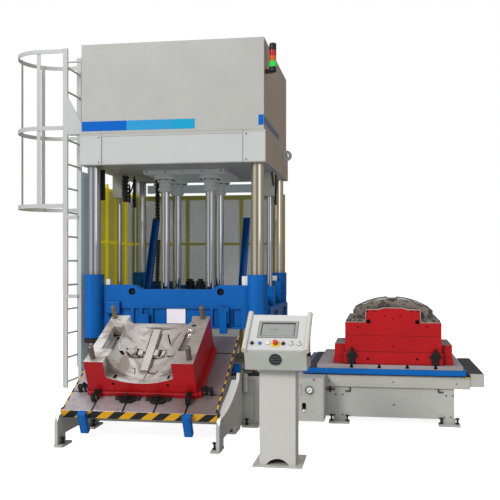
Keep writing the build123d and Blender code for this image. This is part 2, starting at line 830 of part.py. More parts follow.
def make_lift_rods():
    rods = []
    top = crown_bottom + piston_rise
    for x, y in corners(rod_x, rod_y):
        rod = bar_z(rod_r, x, y, platen_floor_top, top)
        rod += bar_z(barrel_bore_r - running_gap, x, y, top - piston_height, top)
        rods.append(rod)
    for side in (-1, 1):
        rods.append(bar_z(side_rod_r, side * side_rod_x, 0, lug_top, crown_bottom - 14))
    return Compound(children=rods)


def make_locking_pins():
    pins = []
    for x in pin_hole_x:
        pin = bar_y(pin_hole_r - seat_gap, x, -platen_half_y + 34, -platen_half_y + beam_t, pin_hole_z)
        pin += bar_y(14, x, -platen_half_y + 16, -platen_half_y + 34, pin_hole_z)
        pins.append(pin)
    return Compound(children=pins)


def make_platen_clamps():
    front = -platen_half_y
    jaw = (clamp_right[0] + 18, clamp_right[1] - 18)
    right = box(*clamp_right, front - 60, front, 1000, 1157) + box(*jaw, front - 78, front - 60, 897, 1120)
    right += box(*jaw, front - 60, front - 20, 897, platen_bottom)
    left = box(*clamp_left, front - 42, front, 970, 1083)
    left = fillet(left.edges().filter_by(Axis.Y), 8)
    lug = box(*front_lug, front - 34, front, 1080, 1210)
    lug = chamfer(lug.edges().filter_by(Axis.X).group_by(Axis.Y)[0], 12)
    return Compound(children=[right, left, lug])


def make_chain_brackets():
    pieces = []
    rise = bracket_top - platen_floor_top
    for side in (-1, 1):
        x0 = side * bracket_x - bracket_width / 2
        outline = [(0, platen_floor_top), (bracket_depth, platen_floor_top),
                   (bracket_lean, bracket_top), (bracket_lean - bracket_depth * 0.7, bracket_top)]
        channel = across(outline, x0, x0 + bracket_width)
        inner = [(a - 10, b) for a, b in outline]
        channel -= across(inner, x0 + 6, x0 + bracket_width - 6)
        foot = box(x0 - 20, x0 + bracket_width + 20, 60, 200, platen_floor_top, platen_floor_top + 10)
        pieces.append(channel + foot)
    return Compound(children=pieces)


def make_platen_fittings():
    pieces = []
    for x in (-62, 58):
        drum = bar_z(45, x, 120, platen_floor_top, platen_floor_top + 100)
        drum += bar_z(30, x, 120, platen_floor_top + 100, platen_floor_top + 125)
        pieces.append(drum)
    front = -platen_half_y
    edge = platen_half_x
    pieces.append(box(edge - 103, edge - 47, front + 20, front + 70, platen_top, platen_top + 92))
    pieces.append(box(64 - edge, 107 - edge, front + 20, front + 60, platen_top, platen_top + 60))
    pieces.append(box(edge + 35, edge + 115, platen_half_y - 220, platen_half_y - 140, side_beam_top,
                      side_beam_top + 250))
    return Compound(children=pieces)


# Front bolster. Built level about its pivot, then swung up to the tilt.

def tilted(shape):
    return Pos(0, pivot_y, pivot_z) * Rot(tilt_angle, 0, 0) * shape


bolster_front = bolster_back - bolster_length


def make_bolster():
    low = bolster_rise - bolster_t
    plate = box(-bolster_half_x, bolster_half_x, bolster_front, bolster_back, low, bolster_rise)
    plate = chamfer(plate.edges().group_by(Axis.Z)[-1], 3)
    for x in bolster_slots_x:
        plate -= slot_along_y(x, bolster_front, bolster_back, bolster_rise)
    for s in cross_slots:
        plate -= slot_along_x(bolster_front + s, -bolster_half_x, bolster_half_x, bolster_rise)
    for x in (-280, 280):
        plate += box(x - 20, x + 20, bolster_front + 120, bolster_back - 60, low - 70, low)
    return tilted(plate)


def make_bolster_arms():
    low = bolster_rise - bolster_t
    pieces = []
    for x in arms_x:
        arm = box(x - arm_width / 2, x + arm_width / 2, bolster_front - arm_t, bolster_front, -arm_length + low + 62,
                  bolster_rise)
        pieces.append(fillet(arm.edges().filter_by(Axis.Z), 10))
    for side in (-1, 1):
        lug_out = bolster_half_x - 40
        xs = sorted((side * lug_out, side * (lug_out - trunnion_lug_t)))
        outline = [(-120, low), (120, low), (45, -30), (30, -45), (-30, -45), (-45, -30)]
        lug = across(outline, *xs)
        tip = bolster_half_x + side_gap + frame_t
        xs = sorted((side * lug_out, side * tip))
        lug += bar_x(trunnion_r, *xs, 0, 0)
        pieces.append(lug)
    return Compound(children=[tilted(p) for p in pieces])


def make_rollers():
    low = bolster_rise - bolster_t
    pieces = []
    for side in (-1, 1):
        xs = sorted((side * bolster_half_x, side * (bolster_half_x + roller_t)))
        pieces.append(tilted(bar_x(roller_r, *xs, bolster_front + 34, low + 32)))
    return Compound(children=pieces)


def make_mould_base():
    front = bolster_front + mould_front
    back = bolster_front + mould_back
    low = bolster_rise
    high = low + mould_base_t
    body = box(mould_left - mould_foot / 2, mould_right + mould_foot / 2, front - mould_foot, back + mould_foot,
               low, high)
    body = fillet(body.edges().filter_by(Axis.Z), 10)
    wide = mould_side_foot
    sides = box(mould_left - wide / 2, mould_right + wide, front, back - mould_wall, low, high)
    body += fillet(sides.edges().filter_by(Axis.Z), 10)
    for y in (front - mould_foot, back + mould_foot):
        body -= box(mould_left + 190, mould_right - 190, y - 8, y + 8, low, low + 16)
    return tilted(body)


def basin_section(y, left, middle, right):
    """One sagging section across the basin, closed above the mould's top."""
    top = bolster_rise + mould_height
    sag = ThreePointArc((left, top), middle, (right, top))
    lid = Polyline((right, top), (right, top + 40), (left, top + 40), (left, top))
    return Plane.XZ.offset(-y) * make_face(sag + lid)


def basin_floor(s):
    """Height of the basin's lowest line above the bolster."""
    start = mould_front + mould_wall
    share = (s - start) / (mould_back - mould_wall - start)
    return basin_floor_front + share * (basin_floor_back - basin_floor_front)


def make_mould_cavity():
    front = bolster_front + mould_front
    back = bolster_front + mould_back
    plate = bolster_rise
    high = plate + mould_height
    above = high + 10
    plan = Polygon((mould_left, front), (mould_right, front), (mould_right, back), (mould_left + mould_taper, back),
                   align=None)
    body = Pos(0, 0, plate + mould_base_t) * extrude(plan, mould_height - mould_base_t, dir=(0, 0, 1))
    # the basin runs front to back as a sagging valley whose floor rises to the back
    inner_left, inner_right = mould_left + 192, mould_right - 192
    body -= loft([basin_section(front + mould_wall, inner_left, (-30, plate + basin_floor_front), inner_right),
                  basin_section(back - mould_wall, inner_left + 18, (-40, plate + basin_floor_back), inner_right + 40)])
    # low sill in the front wall, a lower back wall
    dip = ThreePointArc((inner_left - 12, plate + sill_edge), (0, plate + sill_middle),
                        (inner_right - 5, plate + sill_edge))
    top = Polyline((inner_right - 5, plate + sill_edge), (inner_right - 5, above), (inner_left - 12, above),
                   (inner_left - 12, plate + sill_edge))
    body -= push_y(make_face(dip + top), front - 10, front + mould_wall + 30)
    body -= box(inner_left + 13, inner_right + 22, back - mould_wall - 20, back + 10, plate + back_wall_top, above)
    # stepped hollow in the left wall, shallow step and hole in the right wall
    y0, y1 = (bolster_front + s for s in pocket)
    wall = mould_left + left_wall
    body -= box(wall, wall + 110, y0, y1, plate + pocket_floor, above)
    body -= box(wall + 30, wall + 90, y0 + 40, y1 - 30, plate + pocket_floor - 30, above)
    y0, y1 = (bolster_front + s for s in right_step)
    body -= box(inner_right + 10, mould_right - 112, y0, y1, plate + right_step_floor, above)
    body -= bar_z(25, mould_right - 122, y1 + 110, high - 60, above)
    # raised strip along the basin's floor
    ends = (strip_start, mould_back - mould_wall - 20)
    outline = [(bolster_front + s, plate + basin_floor(s) + rise)
               for s, rise in ((ends[0], strip_rise), (ends[1], strip_rise), (ends[1], -20), (ends[0], -20))]
    body += across(outline, *strip_x)
    return tilted(body)


def pin_spots():
    """Guide pin centres, from the middle and from the bolster's front edge."""
    left, right = mould_left + 69, mould_right - 49
    return ((left, mould_front + 61), (left - 4, mould_back - 47), (right, mould_front + 76),
            (right - 15, mould_back - 33))


def make_mould_pins():
    high = bolster_rise + mould_height
    pins = []
    for x, s in pin_spots():
        pin = bar_z(pin_r, x, bolster_front + s, high, high + pin_rise)
        pin = chamfer(pin.edges().group_by(Axis.Z)[-1], 4)
        pins.append(tilted(pin))
    return Compound(children=pins)


def strap_clamp(x, s, turn):
    """A strap clamp on a T-slot: a heel block, a bar onto the mould's foot, a stud and a nut."""
    half = clamp_width / 2
    foot = mould_base_t
    body = box(-half, half, -60, -34, 0, foot)
    body += box(-half, half, -60, 44, foot, foot + clamp_t)
    body += bar_z(9, 0, 0, 0, foot + clamp_t + 30)
    body += extrude(Pos(0, 0, foot + clamp_t) * RegularPolygon(17, 6, major_radius=False), 16)
    return tilted(Pos(x, bolster_front + s, bolster_rise) * Rot(0, 0, turn) * body)


def stop_pad(x, s):
    """A flat round-ended pad against the mould's foot, bolted to a T-slot."""
    pad = extrude(SlotOverall(150, 90), clamp_t)
    pad += bar_z(9, 0, 0, 0, clamp_t + 34) + bar_z(22, 0, 0, 0, clamp_t + 12)
    return tilted(Pos(x, bolster_front + s, bolster_rise) * pad)


def make_mould_clamps():
    foot_front = mould_front - mould_foot
    pieces = [stop_pad(x, foot_front - 46) for x in bolster_slots_x[1:3]]
    pieces += [strap_clamp(bolster_slots_x[0], foot_front - 34, -30), strap_clamp(bolster_slots_x[3], foot_front - 36, 0)]
    reach = 34
    pieces += [strap_clamp(mould_right + mould_side_foot + reach, cross_slots[0], 90),
               strap_clamp(mould_left - mould_side_foot / 2 - reach, cross_slots[0], -90)]
    return Compound(children=pieces)


# Side frames

def side_frame(side):
    """One plate frame with a hollowed top edge, an inner flange, two feet and a flat head for the pivot block."""
    inner = bolster_half_x + side_gap
    outer = inner + frame_t
    arc_y = frame_arc_front
    centre_z = frame_arc_low + frame_arc_r

    def arc_z(y):
        return centre_z - math.sqrt(frame_arc_r ** 2 - (y - arc_y) ** 2)

    middle = (arc_y + frame_arc_back) / 2
    arc = ThreePointArc((arc_y, frame_arc_low), (middle, arc_z(middle)), (frame_arc_back, arc_z(frame_arc_back)))
    head_front = pivot_y - block_half_y - 8
    back = -base_half_y
    web_top = Polyline((frame_arc_back, arc_z(frame_arc_back)), (head_front, frame_head_top),
                       (back, frame_head_top), (back, foot_plate_t), (frame_rear_leg, foot_plate_t),
                       (frame_rear_leg, frame_web_bottom), (frame_front + frame_leg_depth, frame_web_bottom),
                       (frame_front + frame_leg_depth, foot_plate_t), (frame_front, foot_plate_t),
                       (frame_front, frame_arc_low - 55), (frame_front + 30, frame_arc_low - 12),
                       (arc_y, frame_arc_low))
    face = make_face(arc + web_top)
    xs = sorted((side * inner, side * outer))
    body = push_x(face, *xs)
    # curved inner flange along the hollow
    y0 = frame_arc_front + 140
    lower_arc = ThreePointArc((frame_arc_back, arc_z(frame_arc_back)), ((y0 + frame_arc_back) / 2,
                              arc_z((y0 + frame_arc_back) / 2)), (y0, arc_z(y0)))
    drop = frame_flange_t
    under_arc = ThreePointArc((y0, arc_z(y0) - drop), ((y0 + frame_arc_back) / 2,
                              arc_z((y0 + frame_arc_back) / 2) - drop), (frame_arc_back, arc_z(frame_arc_back) - drop))
    ends = Line((y0, arc_z(y0)), (y0, arc_z(y0) - drop)) + Line(
        (frame_arc_back, arc_z(frame_arc_back) - drop), (frame_arc_back, arc_z(frame_arc_back)))
    flange_x = sorted((side * (inner - frame_flange_in), side * inner))
    body += push_x(make_face(lower_arc + under_arc + ends), *flange_x)
    foot_x0, foot_x1 = sorted((side * (inner - frame_foot_in), side * outer))
    for y0, y1, bolt_y in ((frame_front - 14, frame_front + frame_leg_depth + 26, frame_front + 60),
                           (frame_rear_leg - 8, frame_rear_leg + 250, frame_rear_leg + 60)):
        foot = box(foot_x0, foot_x1, y0, y1, 0, foot_plate_t)
        foot -= bar_z(bolt_r + seat_gap, side * (inner - frame_foot_in / 2), bolt_y, 0, foot_plate_t)
        body += foot
    return body


def make_bearing_blocks():
    pieces = []
    for side in (-1, 1):
        inner = bolster_half_x + side_gap
        xs = sorted((side * (inner - 30), side * (inner + frame_t)))
        block = box(*xs, pivot_y - block_half_y, pivot_y + block_half_y, frame_head_top,
                    frame_head_top + block_height)
        block = fillet(block.edges().filter_by(Axis.X).group_by(Axis.Z)[-1], 16)
        pieces.append(block - bar_x(trunnion_r + running_gap, *xs, pivot_y, pivot_z))
    return Compound(children=pieces)


bolt_r = 10.0


def levelling_bolt(x, y, top):
    bolt = bar_z(bolt_r, x, y, 0, top + 46)
    nut = extrude(Pos(x, y, top) * RegularPolygon(17, 6, major_radius=False), 14)
    head = extrude(Pos(x, y, top + 46) * RegularPolygon(17, 6, major_radius=False), 14)
    return bolt + nut + head


def make_levelling_bolts():
    bolts = []
    for x, y in corners(foot_x - anchor_offset, base_half_y + foot_reach / 2):
        bolts.append(levelling_bolt(x, y, foot_plate_t))
    inner = bolster_half_x + side_gap - frame_foot_in / 2
    for side in (-1, 1):
        for y in (frame_front + 60, frame_rear_leg + 60):
            bolts.append(levelling_bolt(side * inner, y, foot_plate_t))
    for x, y in table_feet():
        for dx in (-table_foot_bolt, table_foot_bolt):
            bolts.append(levelling_bolt(x + dx, y, table_foot_t))
    return Compound(children=bolts)


# Side table and carriage

table_foot_half = 102.0
table_foot_depth = 120.0
table_foot_bolt = 78.0


def table_feet():
    spots = []
    for x in (table_left + 706, table_right - 48):
        for side in (-1, 1):
            spots.append((x, side * (table_front + 22)))
    return spots


def make_table():
    body = box(table_left, table_right, -table_front, table_front, table_bottom, cover_bottom)
    body -= cells((table_left, table_right), (-table_front, table_front), (table_bottom, cover_bottom - table_wall),
                  table_wall, 5, 3)
    body += box(table_left, cover_right - 20, -table_front + 40, table_front - 40, cover_bottom, base_top)
    body -= cells((table_left, cover_right - 20), (-table_front + 40, table_front - 40),
                  (cover_bottom, base_top - table_wall), table_wall, 5, 3)
    pieces = [body]
    for x, y in table_feet():
        side = 1 if y > 0 else -1
        leg_y = sorted((side * (table_front - 60), side * table_front))
        foot = box(x - table_foot_half, x + table_foot_half, y - table_foot_depth / 2, y + table_foot_depth / 2,
                   0, table_foot_t)
        for dx in (-table_foot_bolt, table_foot_bolt):
            foot -= bar_z(bolt_r + seat_gap, x + dx, y, 0, table_foot_t)
        pieces.append(foot + box(x - 62, x + 62, *leg_y, 0, table_bottom))
    for side in (-1, 1):
        leg_y = sorted((side * (table_front - 80), side * table_front))
        pieces.append(box(table_left + 10, table_left + 110, *leg_y, 0, table_bottom))
    return Compound(children=pieces)


def cover_band(side):
    """The long cover beside a rail, with a bevelled top edge."""
    inner = side * (table_front - 40)
    outer = side * cover_half_y
    mid = side * (cover_half_y - 14)
    outline = [(inner, cover_bottom), (outer, cover_bottom), (outer, cover_top - 28), (mid, cover_top),
               (inner, cover_top)]
    return across(outline, table_left, cover_right)


def make_table_covers():
    end = box(cover_right, end_right, -cover_half_y + 10, cover_half_y - 10, end_bottom, end_top)
    end = fillet(end.edges().filter_by(Axis.Y).group_by(Axis.X)[-1], 6)
    return Compound(children=[cover_band(-1), cover_band(1), end])


def make_carriage():
    half = carriage_half_y
    body = box(carriage_left, carriage_right, -half, half, carriage_bottom, carriage_top)
    body -= box(tslot_left - 8, tslot_right + 8, -half + 10, half - 10, carriage_top - tslot_pocket, carriage_top)
    return chamfer(body.edges().filter_by(Axis.X).group_by(Axis.Z)[-1], 3)


def make_tslot_table():
    """The slotted plate, as wide as the frame, with a spigot in the frame's pocket."""
    half = carriage_half_y
    body = box(tslot_left, tslot_right, -half, half, carriage_top, tslot_top)
    body = chamfer(body.edges().group_by(Axis.Z)[-1], 2)
    body += box(tslot_left, tslot_right, -half + 12, half - 12, carriage_top - tslot_pocket, carriage_top)
    for x in carriage_slots:
        body -= slot_along_y(x, -half, half, tslot_top)
    return body


def make_upper_mould_base():
    low = tslot_top
    left = upper_x - upper_half_x
    right = upper_x + upper_half_x
    body = box(left, right, upper_front, upper_back, low, upper_shoulder)
    body += box(left - 12, right + 12, upper_front - 12, upper_back + 12, low, upper_flange_top)
    side = upper_side_half_x
    body += box(upper_x - side, upper_x + side, upper_side_front, upper_side_back, low, upper_side_top)
    body += box(upper_x - side - 10, upper_x + side + 10, upper_side_front - 15, upper_side_back + 15,
                low, upper_foot_top)
    half = upper_centre_half_x
    rise = upper_centre_top - upper_shoulder
    ends = [(upper_x - half, upper_shoulder), (upper_x - half + 10, upper_centre_top),
            (upper_x - half * 0.55, upper_centre_top), (upper_x - half * 0.35, upper_centre_top + 0.14 * rise),
            (upper_x + half * 0.35, upper_centre_top + 0.14 * rise), (upper_x + half * 0.55, upper_centre_top),
            (upper_x + half - 10, upper_centre_top), (upper_x + half, upper_shoulder)]
    body += lengthwise(ends, upper_front, upper_front + upper_centre_t)
    for z in (upper_flange_top + 6, upper_seam):
        body -= box(left, right, upper_front, upper_front + 3, z - 2, z + 2)
    for side in (-1, 1):
        body -= bar_y(upper_hole_r, upper_x + side * upper_hole_x, upper_front, upper_front + 60, upper_shoulder + 6)
    return body


def make_upper_mould_core():
    """The machined steel shoulders and the crowned core between them."""
    body = None
    for side in (-1, 1):
        xs = sorted((upper_x + side * (upper_half_x - 10), upper_x + side * (upper_centre_half_x + 6)))
        block = box(*xs, upper_front + 6, upper_back - 6, upper_shoulder, upper_shoulder + shoulder_rise)
        block = chamfer(block.edges().filter_by(Axis.Y).group_by(Axis.Z)[-1], shoulder_chamfer)
        body = block if body is None else body + block
    left = upper_x - core_half_x
    right = upper_x + core_half_x
    top = ThreePointArc((left, core_edge), (upper_x, core_crown), (right, core_edge))
    rest = Polyline((right, core_edge), (right, upper_shoulder), (left, upper_shoulder), (left, core_edge))
    dome = push_y(make_face(top + rest), upper_front + upper_centre_t + seat_gap, upper_back - 60)
    dome -= box(upper_x - 47, upper_x + 47, upper_front, upper_back, core_crown - 14, core_crown + 5)
    return body + dome


# Control desk and valve cabinet

def make_pedestal():
    x0, x1 = desk_x - pedestal_half_x, desk_x + pedestal_half_x
    top = desk_bottom
    body = box(x0, x1, pedestal_front, pedestal_back, plinth_t, top)
    body = fillet(body.edges().filter_by(Axis.Z), 6)
    w = pedestal_wall
    body -= box(x0 + w, x1 - w, pedestal_front + w, pedestal_back - w, plinth_t, top - w)
    radius = (arch_half ** 2 + arch_height ** 2) / (2 * arch_height)
    body -= bar_y(radius, desk_x, pedestal_front - 5, pedestal_front + w + 5, plinth_t + arch_height - radius)
    plinth = box(desk_x - plinth_half_x, desk_x + plinth_half_x, plinth_front, plinth_back, 0, plinth_t)
    plinth = fillet(plinth.edges().filter_by(Axis.Z), 5)
    for sx in (-1, 1):
        for y in (plinth_front + 25, plinth_back - 25):
            plinth -= bar_z(7, desk_x + sx * (plinth_half_x - 25), y, 0, plinth_t)
    return body + plinth


panel_run = math.hypot(panel_back_y - desk_front, panel_back_z - panel_front_z)
panel_slope = math.degrees(math.atan2(panel_back_z - panel_front_z, panel_back_y - desk_front))


def on_panel(shape):
    """Places a shape made flat, with X across, Y up the slope and Z out of the panel."""
    return Pos(desk_x, desk_front, panel_front_z) * Rot(panel_slope, 0, 0) * shape


def control_x(i):
    return (i - 3) * control_pitch - 4


def make_desk():
    outline = [(desk_front_low, desk_bottom), (desk_front, desk_lip), (desk_front, panel_front_z),
               (panel_back_y, panel_back_z), (desk_back, panel_back_z - 12), (desk_back, desk_bottom)]
    w = pedestal_wall
    profile = Polygon(*outline, align=None)
    body = push_x(profile, desk_x - desk_half_x, desk_x + desk_half_x)
    body -= push_x(offset(profile, -w, kind=Kind.INTERSECTION), desk_x - desk_half_x + w, desk_x + desk_half_x - w)
    for side in (-1, 1):
        rail = on_panel(bar_y(cheek_r, side * desk_half_x, -14, panel_run + 24, -2))
        body += rail
    grille_z = 860
    body -= bar_y(grille_r, desk_x, desk_front - 40, desk_front + 70, grille_z)
    lean = (desk_front - desk_front_low) / (desk_lip - desk_bottom)
    for k in range(-3, 4):
        z = grille_z + k * 13
        half = math.sqrt(grille_r ** 2 - (k * 13) ** 2) + 4
        y = desk_front_low + lean * (z - desk_bottom)
        body += box(desk_x - half, desk_x + half, y + 0.4, y + 3.4, z - 3, z + 3)
    pocket = box(-screen_half_x, screen_half_x, screen_low, screen_high, -12, 10)
    body -= on_panel(pocket)
    for i in range(7):
        body -= on_panel(bar_z(control_bore_r, control_x(i), control_row, -60, 10))
    body -= bar_x(knob_stem_r + running_gap, desk_x + desk_half_x - 60, desk_x + desk_half_x + 40,
                  desk_front + 70, desk_lip - 25)
    return body


grille_r = 48.0
control_bore_r = 11.0
knob_stem_r = 5.0


def make_screen():
    frame = box(-screen_half_x + seat_gap, screen_half_x - seat_gap, screen_low + seat_gap,
                screen_high - seat_gap, -12, 4)
    frame = chamfer(frame.edges().group_by(Axis.Z)[-1], 3)
    frame -= box(-screen_half_x + 24, screen_half_x - 24, screen_low + 20, screen_high - 20, -2, 4)
    return on_panel(frame)


stem_r = control_bore_r - running_gap


def selector(i):
    """A rotary selector: a stem in the panel, a round skirt and a lever across it."""
    x = control_x(i)
    body = bar_z(stem_r, x, control_row, -40, 1.5)
    body += bar_z(15, x, control_row, 1.5, 9)
    return on_panel(body + box(x - 4, x + 4, control_row - 13, control_row + 13, 9, 20))


def push_button(i):
    x = control_x(i)
    body = bar_z(stem_r, x, control_row, -40, 6)
    return on_panel(body + fillet(bar_z(14, x, control_row, 6, 12).edges().group_by(Axis.Z)[-1], 2))


def make_emergency_stop():
    x = control_x(3)
    body = bar_z(stem_r, x, control_row, -40, 12)
    cap = bar_z(20, x, control_row, 12, 30)
    return on_panel(body + fillet(cap.edges().group_by(Axis.Z)[-1], 8))


def rotary_switch(i):
    """A small rotary switch: a stem, a wide collar and a short finger bar."""
    x = control_x(i)
    body = bar_z(stem_r, x, control_row, -40, 1.5)
    body += bar_z(16, x, control_row, 1.5, 7)
    body += bar_z(9, x, control_row, 7, 16)
    return on_panel(body + box(x - 3, x + 3, control_row - 9, control_row + 9, 16, 26))


def make_side_knob():
    x = desk_x + desk_half_x
    y, z = desk_front + 70, desk_lip - 25
    body = bar_x(knob_stem_r, x - 50, x + 3, y, z)
    body += bar_x(16, x + 3, x + 18, y, z)
    return body + box(x + 18, x + 30, y - 5, y + 5, z - 16, z + 16)


def make_cabinet():
    back = -cover_half_y
    w = cabinet_wall
    body = box(cabinet_left, cabinet_right, cabinet_front, back, cabinet_bottom, cabinet_top)
    body = fillet(body.edges().filter_by(Axis.Z).group_by(Axis.Y)[0], 6)
    body -= box(cabinet_left + w, cabinet_right - w, cabinet_front + w, back, cabinet_bottom + w, cabinet_top - w)
    body -= box(cabinet_left + 127, cabinet_left + 166, cabinet_front, cabinet_front + 3, gauge_z - 55, gauge_z + 45)
    body += bar_y(gauge_r, gauge_x, cabinet_front - 22, cabinet_front, gauge_z)
    body -= bar_y(gauge_r - 4, gauge_x, cabinet_front - 22, cabinet_front - 8, gauge_z)
    body -= bar_y(needle_stem_r + running_gap, gauge_x, cabinet_front - 22, cabinet_front + w, gauge_z)
    tray = box(latch_x - 26, latch_x + 26, cabinet_front + w, cabinet_front + 18, latch_low - 6, latch_high + 6)
    slot = box(latch_x - 20, latch_x + 20, cabinet_front, cabinet_front + 14, latch_low + 20, latch_high - 20)
    slot += bar_y(20, latch_x, cabinet_front, cabinet_front + 14, latch_low + 20)
    slot += bar_y(20, latch_x, cabinet_front, cabinet_front + 14, latch_high - 20)
    body = body + tray - slot
    body -= bar_y(latch_stem_r + running_gap, latch_x, cabinet_front, cabinet_front + 20, latch_low + 20)
    body += bar_y(9, cabinet_left + 284, cabinet_front - 6, cabinet_front, cabinet_top - 14)
    return body


needle_stem_r = 3.0
latch_stem_r = 6.0


def make_gauge_needle():
    y = cabinet_front - 12
    body = bar_y(needle_stem_r, gauge_x, y - 4, cabinet_front + 8, gauge_z)
    hand = box(-1.5, 1.5, y - 3, y - 1, -8, gauge_r - 9)
    return body + Pos(gauge_x, 0, gauge_z) * Rot(0, -135, 0) * hand


def make_latch():
    y = cabinet_front + 3
    z = latch_low + 20
    body = bar_y(latch_stem_r, latch_x, y, cabinet_front + 36, z)
    body += bar_y(17, latch_x, y, y + 8, z)
    return body + box(latch_x - 4, latch_x + 4, y - 9, y, z - 15, z + 15)


nodes = {
    "press_base": make_base,
    "slide_rails": make_rails,
    "columns": make_columns,
    "crown_beam": make_crown,
    "crown_housing": make_housing,
    "cylinder_plate": make_cylinder_plate,
    "rod_glands": make_glands,
    "lift_cylinders": make_lift_cylinders,
    "hydraulic_unit": make_hydraulic_unit,
    "side_cylinders": make_side_cylinders,
    "lifting_hooks": make_hooks,
    "lamp_body": make_lamp_body,
    "lamp_lenses": make_lamp_lenses,
    "ladder_stiles": make_ladder_stiles,
    "ladder_rungs": make_ladder_rungs,
    "cage_hoops": make_cage_hoops,
    "cage_bars": make_cage_bars,
    "cable_duct": make_duct,
    "ladder_brackets": make_ladder_brackets,
    "guard_frames": make_guard_frames,
    "guard_panels": make_guard_panels,
    "upper_platen": make_platen,
    "platen_plate": make_platen_plate,
    "sleeve_wipers": make_wipers,
    "lift_rods": make_lift_rods,
    "locking_pins": make_locking_pins,
    "platen_clamps": make_platen_clamps,
    "chain_brackets": make_chain_brackets,
    "platen_fittings": make_platen_fittings,
    "bolster_plate": make_bolster,
    "bolster_arms": make_bolster_arms,
    "bolster_rollers": make_rollers,
    "lower_mould_base": make_mould_base,
    "lower_mould_cavity": make_mould_cavity,
    "mould_pins": make_mould_pins,
    "mould_clamps": make_mould_clamps,
    "side_frame_left": lambda: side_frame(-1),
    "side_frame_right": lambda: side_frame(1),
    "bearing_blocks": make_bearing_blocks,
    "levelling_bolts": make_levelling_bolts,
    "side_table": make_table,
    "table_covers": make_table_covers,
    "carriage_frame": make_carriage,
    "tslot_table": make_tslot_table,
    "upper_mould_base": make_upper_mould_base,
    "upper_mould_core": make_upper_mould_core,
    "desk_pedestal": make_pedestal,
    "desk_box": make_desk,
    "desk_screen": make_screen,
    "selector_left": lambda: selector(0),
    "button_blue": lambda: push_button(1),
    "button_white": lambda: push_button(2),
    "emergency_stop": make_emergency_stop,
    "selector_right": lambda: selector(4),
    "switch_left": lambda: rotary_switch(5),
    "switch_right": lambda: rotary_switch(6),
    "side_knob": make_side_knob,
    "valve_cabinet": make_cabinet,
    "gauge_needle": make_gauge_needle,
    "cabinet_latch": make_latch,
}

os.makedirs("parts", exist_ok=True)
for name, make in nodes.items():
    export_step(make(), f"parts/{name}.step")
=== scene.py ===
import math

import bmesh
import bpy
from mathutils import Matrix, Vector
from mathutils.bvhtree import BVHTree


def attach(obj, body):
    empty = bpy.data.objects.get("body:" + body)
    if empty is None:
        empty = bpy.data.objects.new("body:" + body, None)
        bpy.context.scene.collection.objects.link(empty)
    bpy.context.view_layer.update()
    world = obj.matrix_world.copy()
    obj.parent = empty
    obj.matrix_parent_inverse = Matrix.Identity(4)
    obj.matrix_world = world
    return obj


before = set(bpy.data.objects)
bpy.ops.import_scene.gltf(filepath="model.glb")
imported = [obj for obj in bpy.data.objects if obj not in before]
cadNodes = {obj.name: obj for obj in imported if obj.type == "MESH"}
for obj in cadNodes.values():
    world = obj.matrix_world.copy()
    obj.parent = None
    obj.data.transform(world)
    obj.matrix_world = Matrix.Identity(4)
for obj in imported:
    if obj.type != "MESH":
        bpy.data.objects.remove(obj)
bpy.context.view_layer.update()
print("frame loaded:", len(cadNodes), "nodes")

# Camera: at a standing person's eye height, right of the press

cameraView = {
    "place": (2.06, -8.611, 1.6177),  # metres
    "turn": 9.3114,  # degrees
    "lens": 56.57, "sensor": 36, "shiftY": 0.0236, "reach": 100,
}

cameraData = bpy.data.cameras.new("pressCamera")
cameraData.lens = cameraView["lens"]
cameraData.sensor_width = cameraView["sensor"]
cameraData.shift_y = cameraView["shiftY"]
cameraData.clip_end = cameraView["reach"]
camera = bpy.data.objects.new("pressCamera", cameraData)
camera.location = cameraView["place"]
camera.rotation_euler = (math.radians(90), 0, math.radians(cameraView["turn"]))
bpy.context.scene.collection.objects.link(camera)
bpy.context.scene.camera = camera


# Finishes

def linear(value):
    value /= 255
    return value / 12.92 if value <= 0.04045 else ((value + 0.055) / 1.055) ** 2.4


def colour(red, green, blue):
    return (linear(red), linear(green), linear(blue), 1)


def shaded(tone, factor):
    return tuple(min(1, part * factor) for part in tone[:3]) + (1,)


def addNode(tree, kind, **sockets):
    node = tree.nodes.new(kind)
    for name, value in sockets.items():
        if name in node.inputs:
            node.inputs[name].default_value = value
        else:
            setattr(node, name, value)
    return node


def feed(tree, socket, value):  # a plain value is set, the output of a node is linked
    if isinstance(value, (int, float, tuple)):
        socket.default_value = value
    else:
        tree.links.new(value, socket)


def mixColour(tree, factor, first, second):
    mix = addNode(tree, "ShaderNodeMix", data_type="RGBA")
    for i, value in ((0, factor), (6, first), (7, second)):
        feed(tree, mix.inputs[i], value)
    return mix.outputs[2]


def ranged(tree, value, low, high, toLow, toHigh):
    span = tree.nodes.new("ShaderNodeMapRange")
    for name, level in (("From Min", low), ("From Max", high), ("To Min", toLow), ("To Max", toHigh)):
        span.inputs[name].default_value = level
    tree.links.new(value, span.inputs["Value"])
    return span.outputs["Result"]


def joined(tree, kind, operation, first, second):  # a node that works on two values
    node = addNode(tree, kind, operation=operation)
    feed(tree, node.inputs[0], first)
    feed(tree, node.inputs[1], second)
    return node.outputs


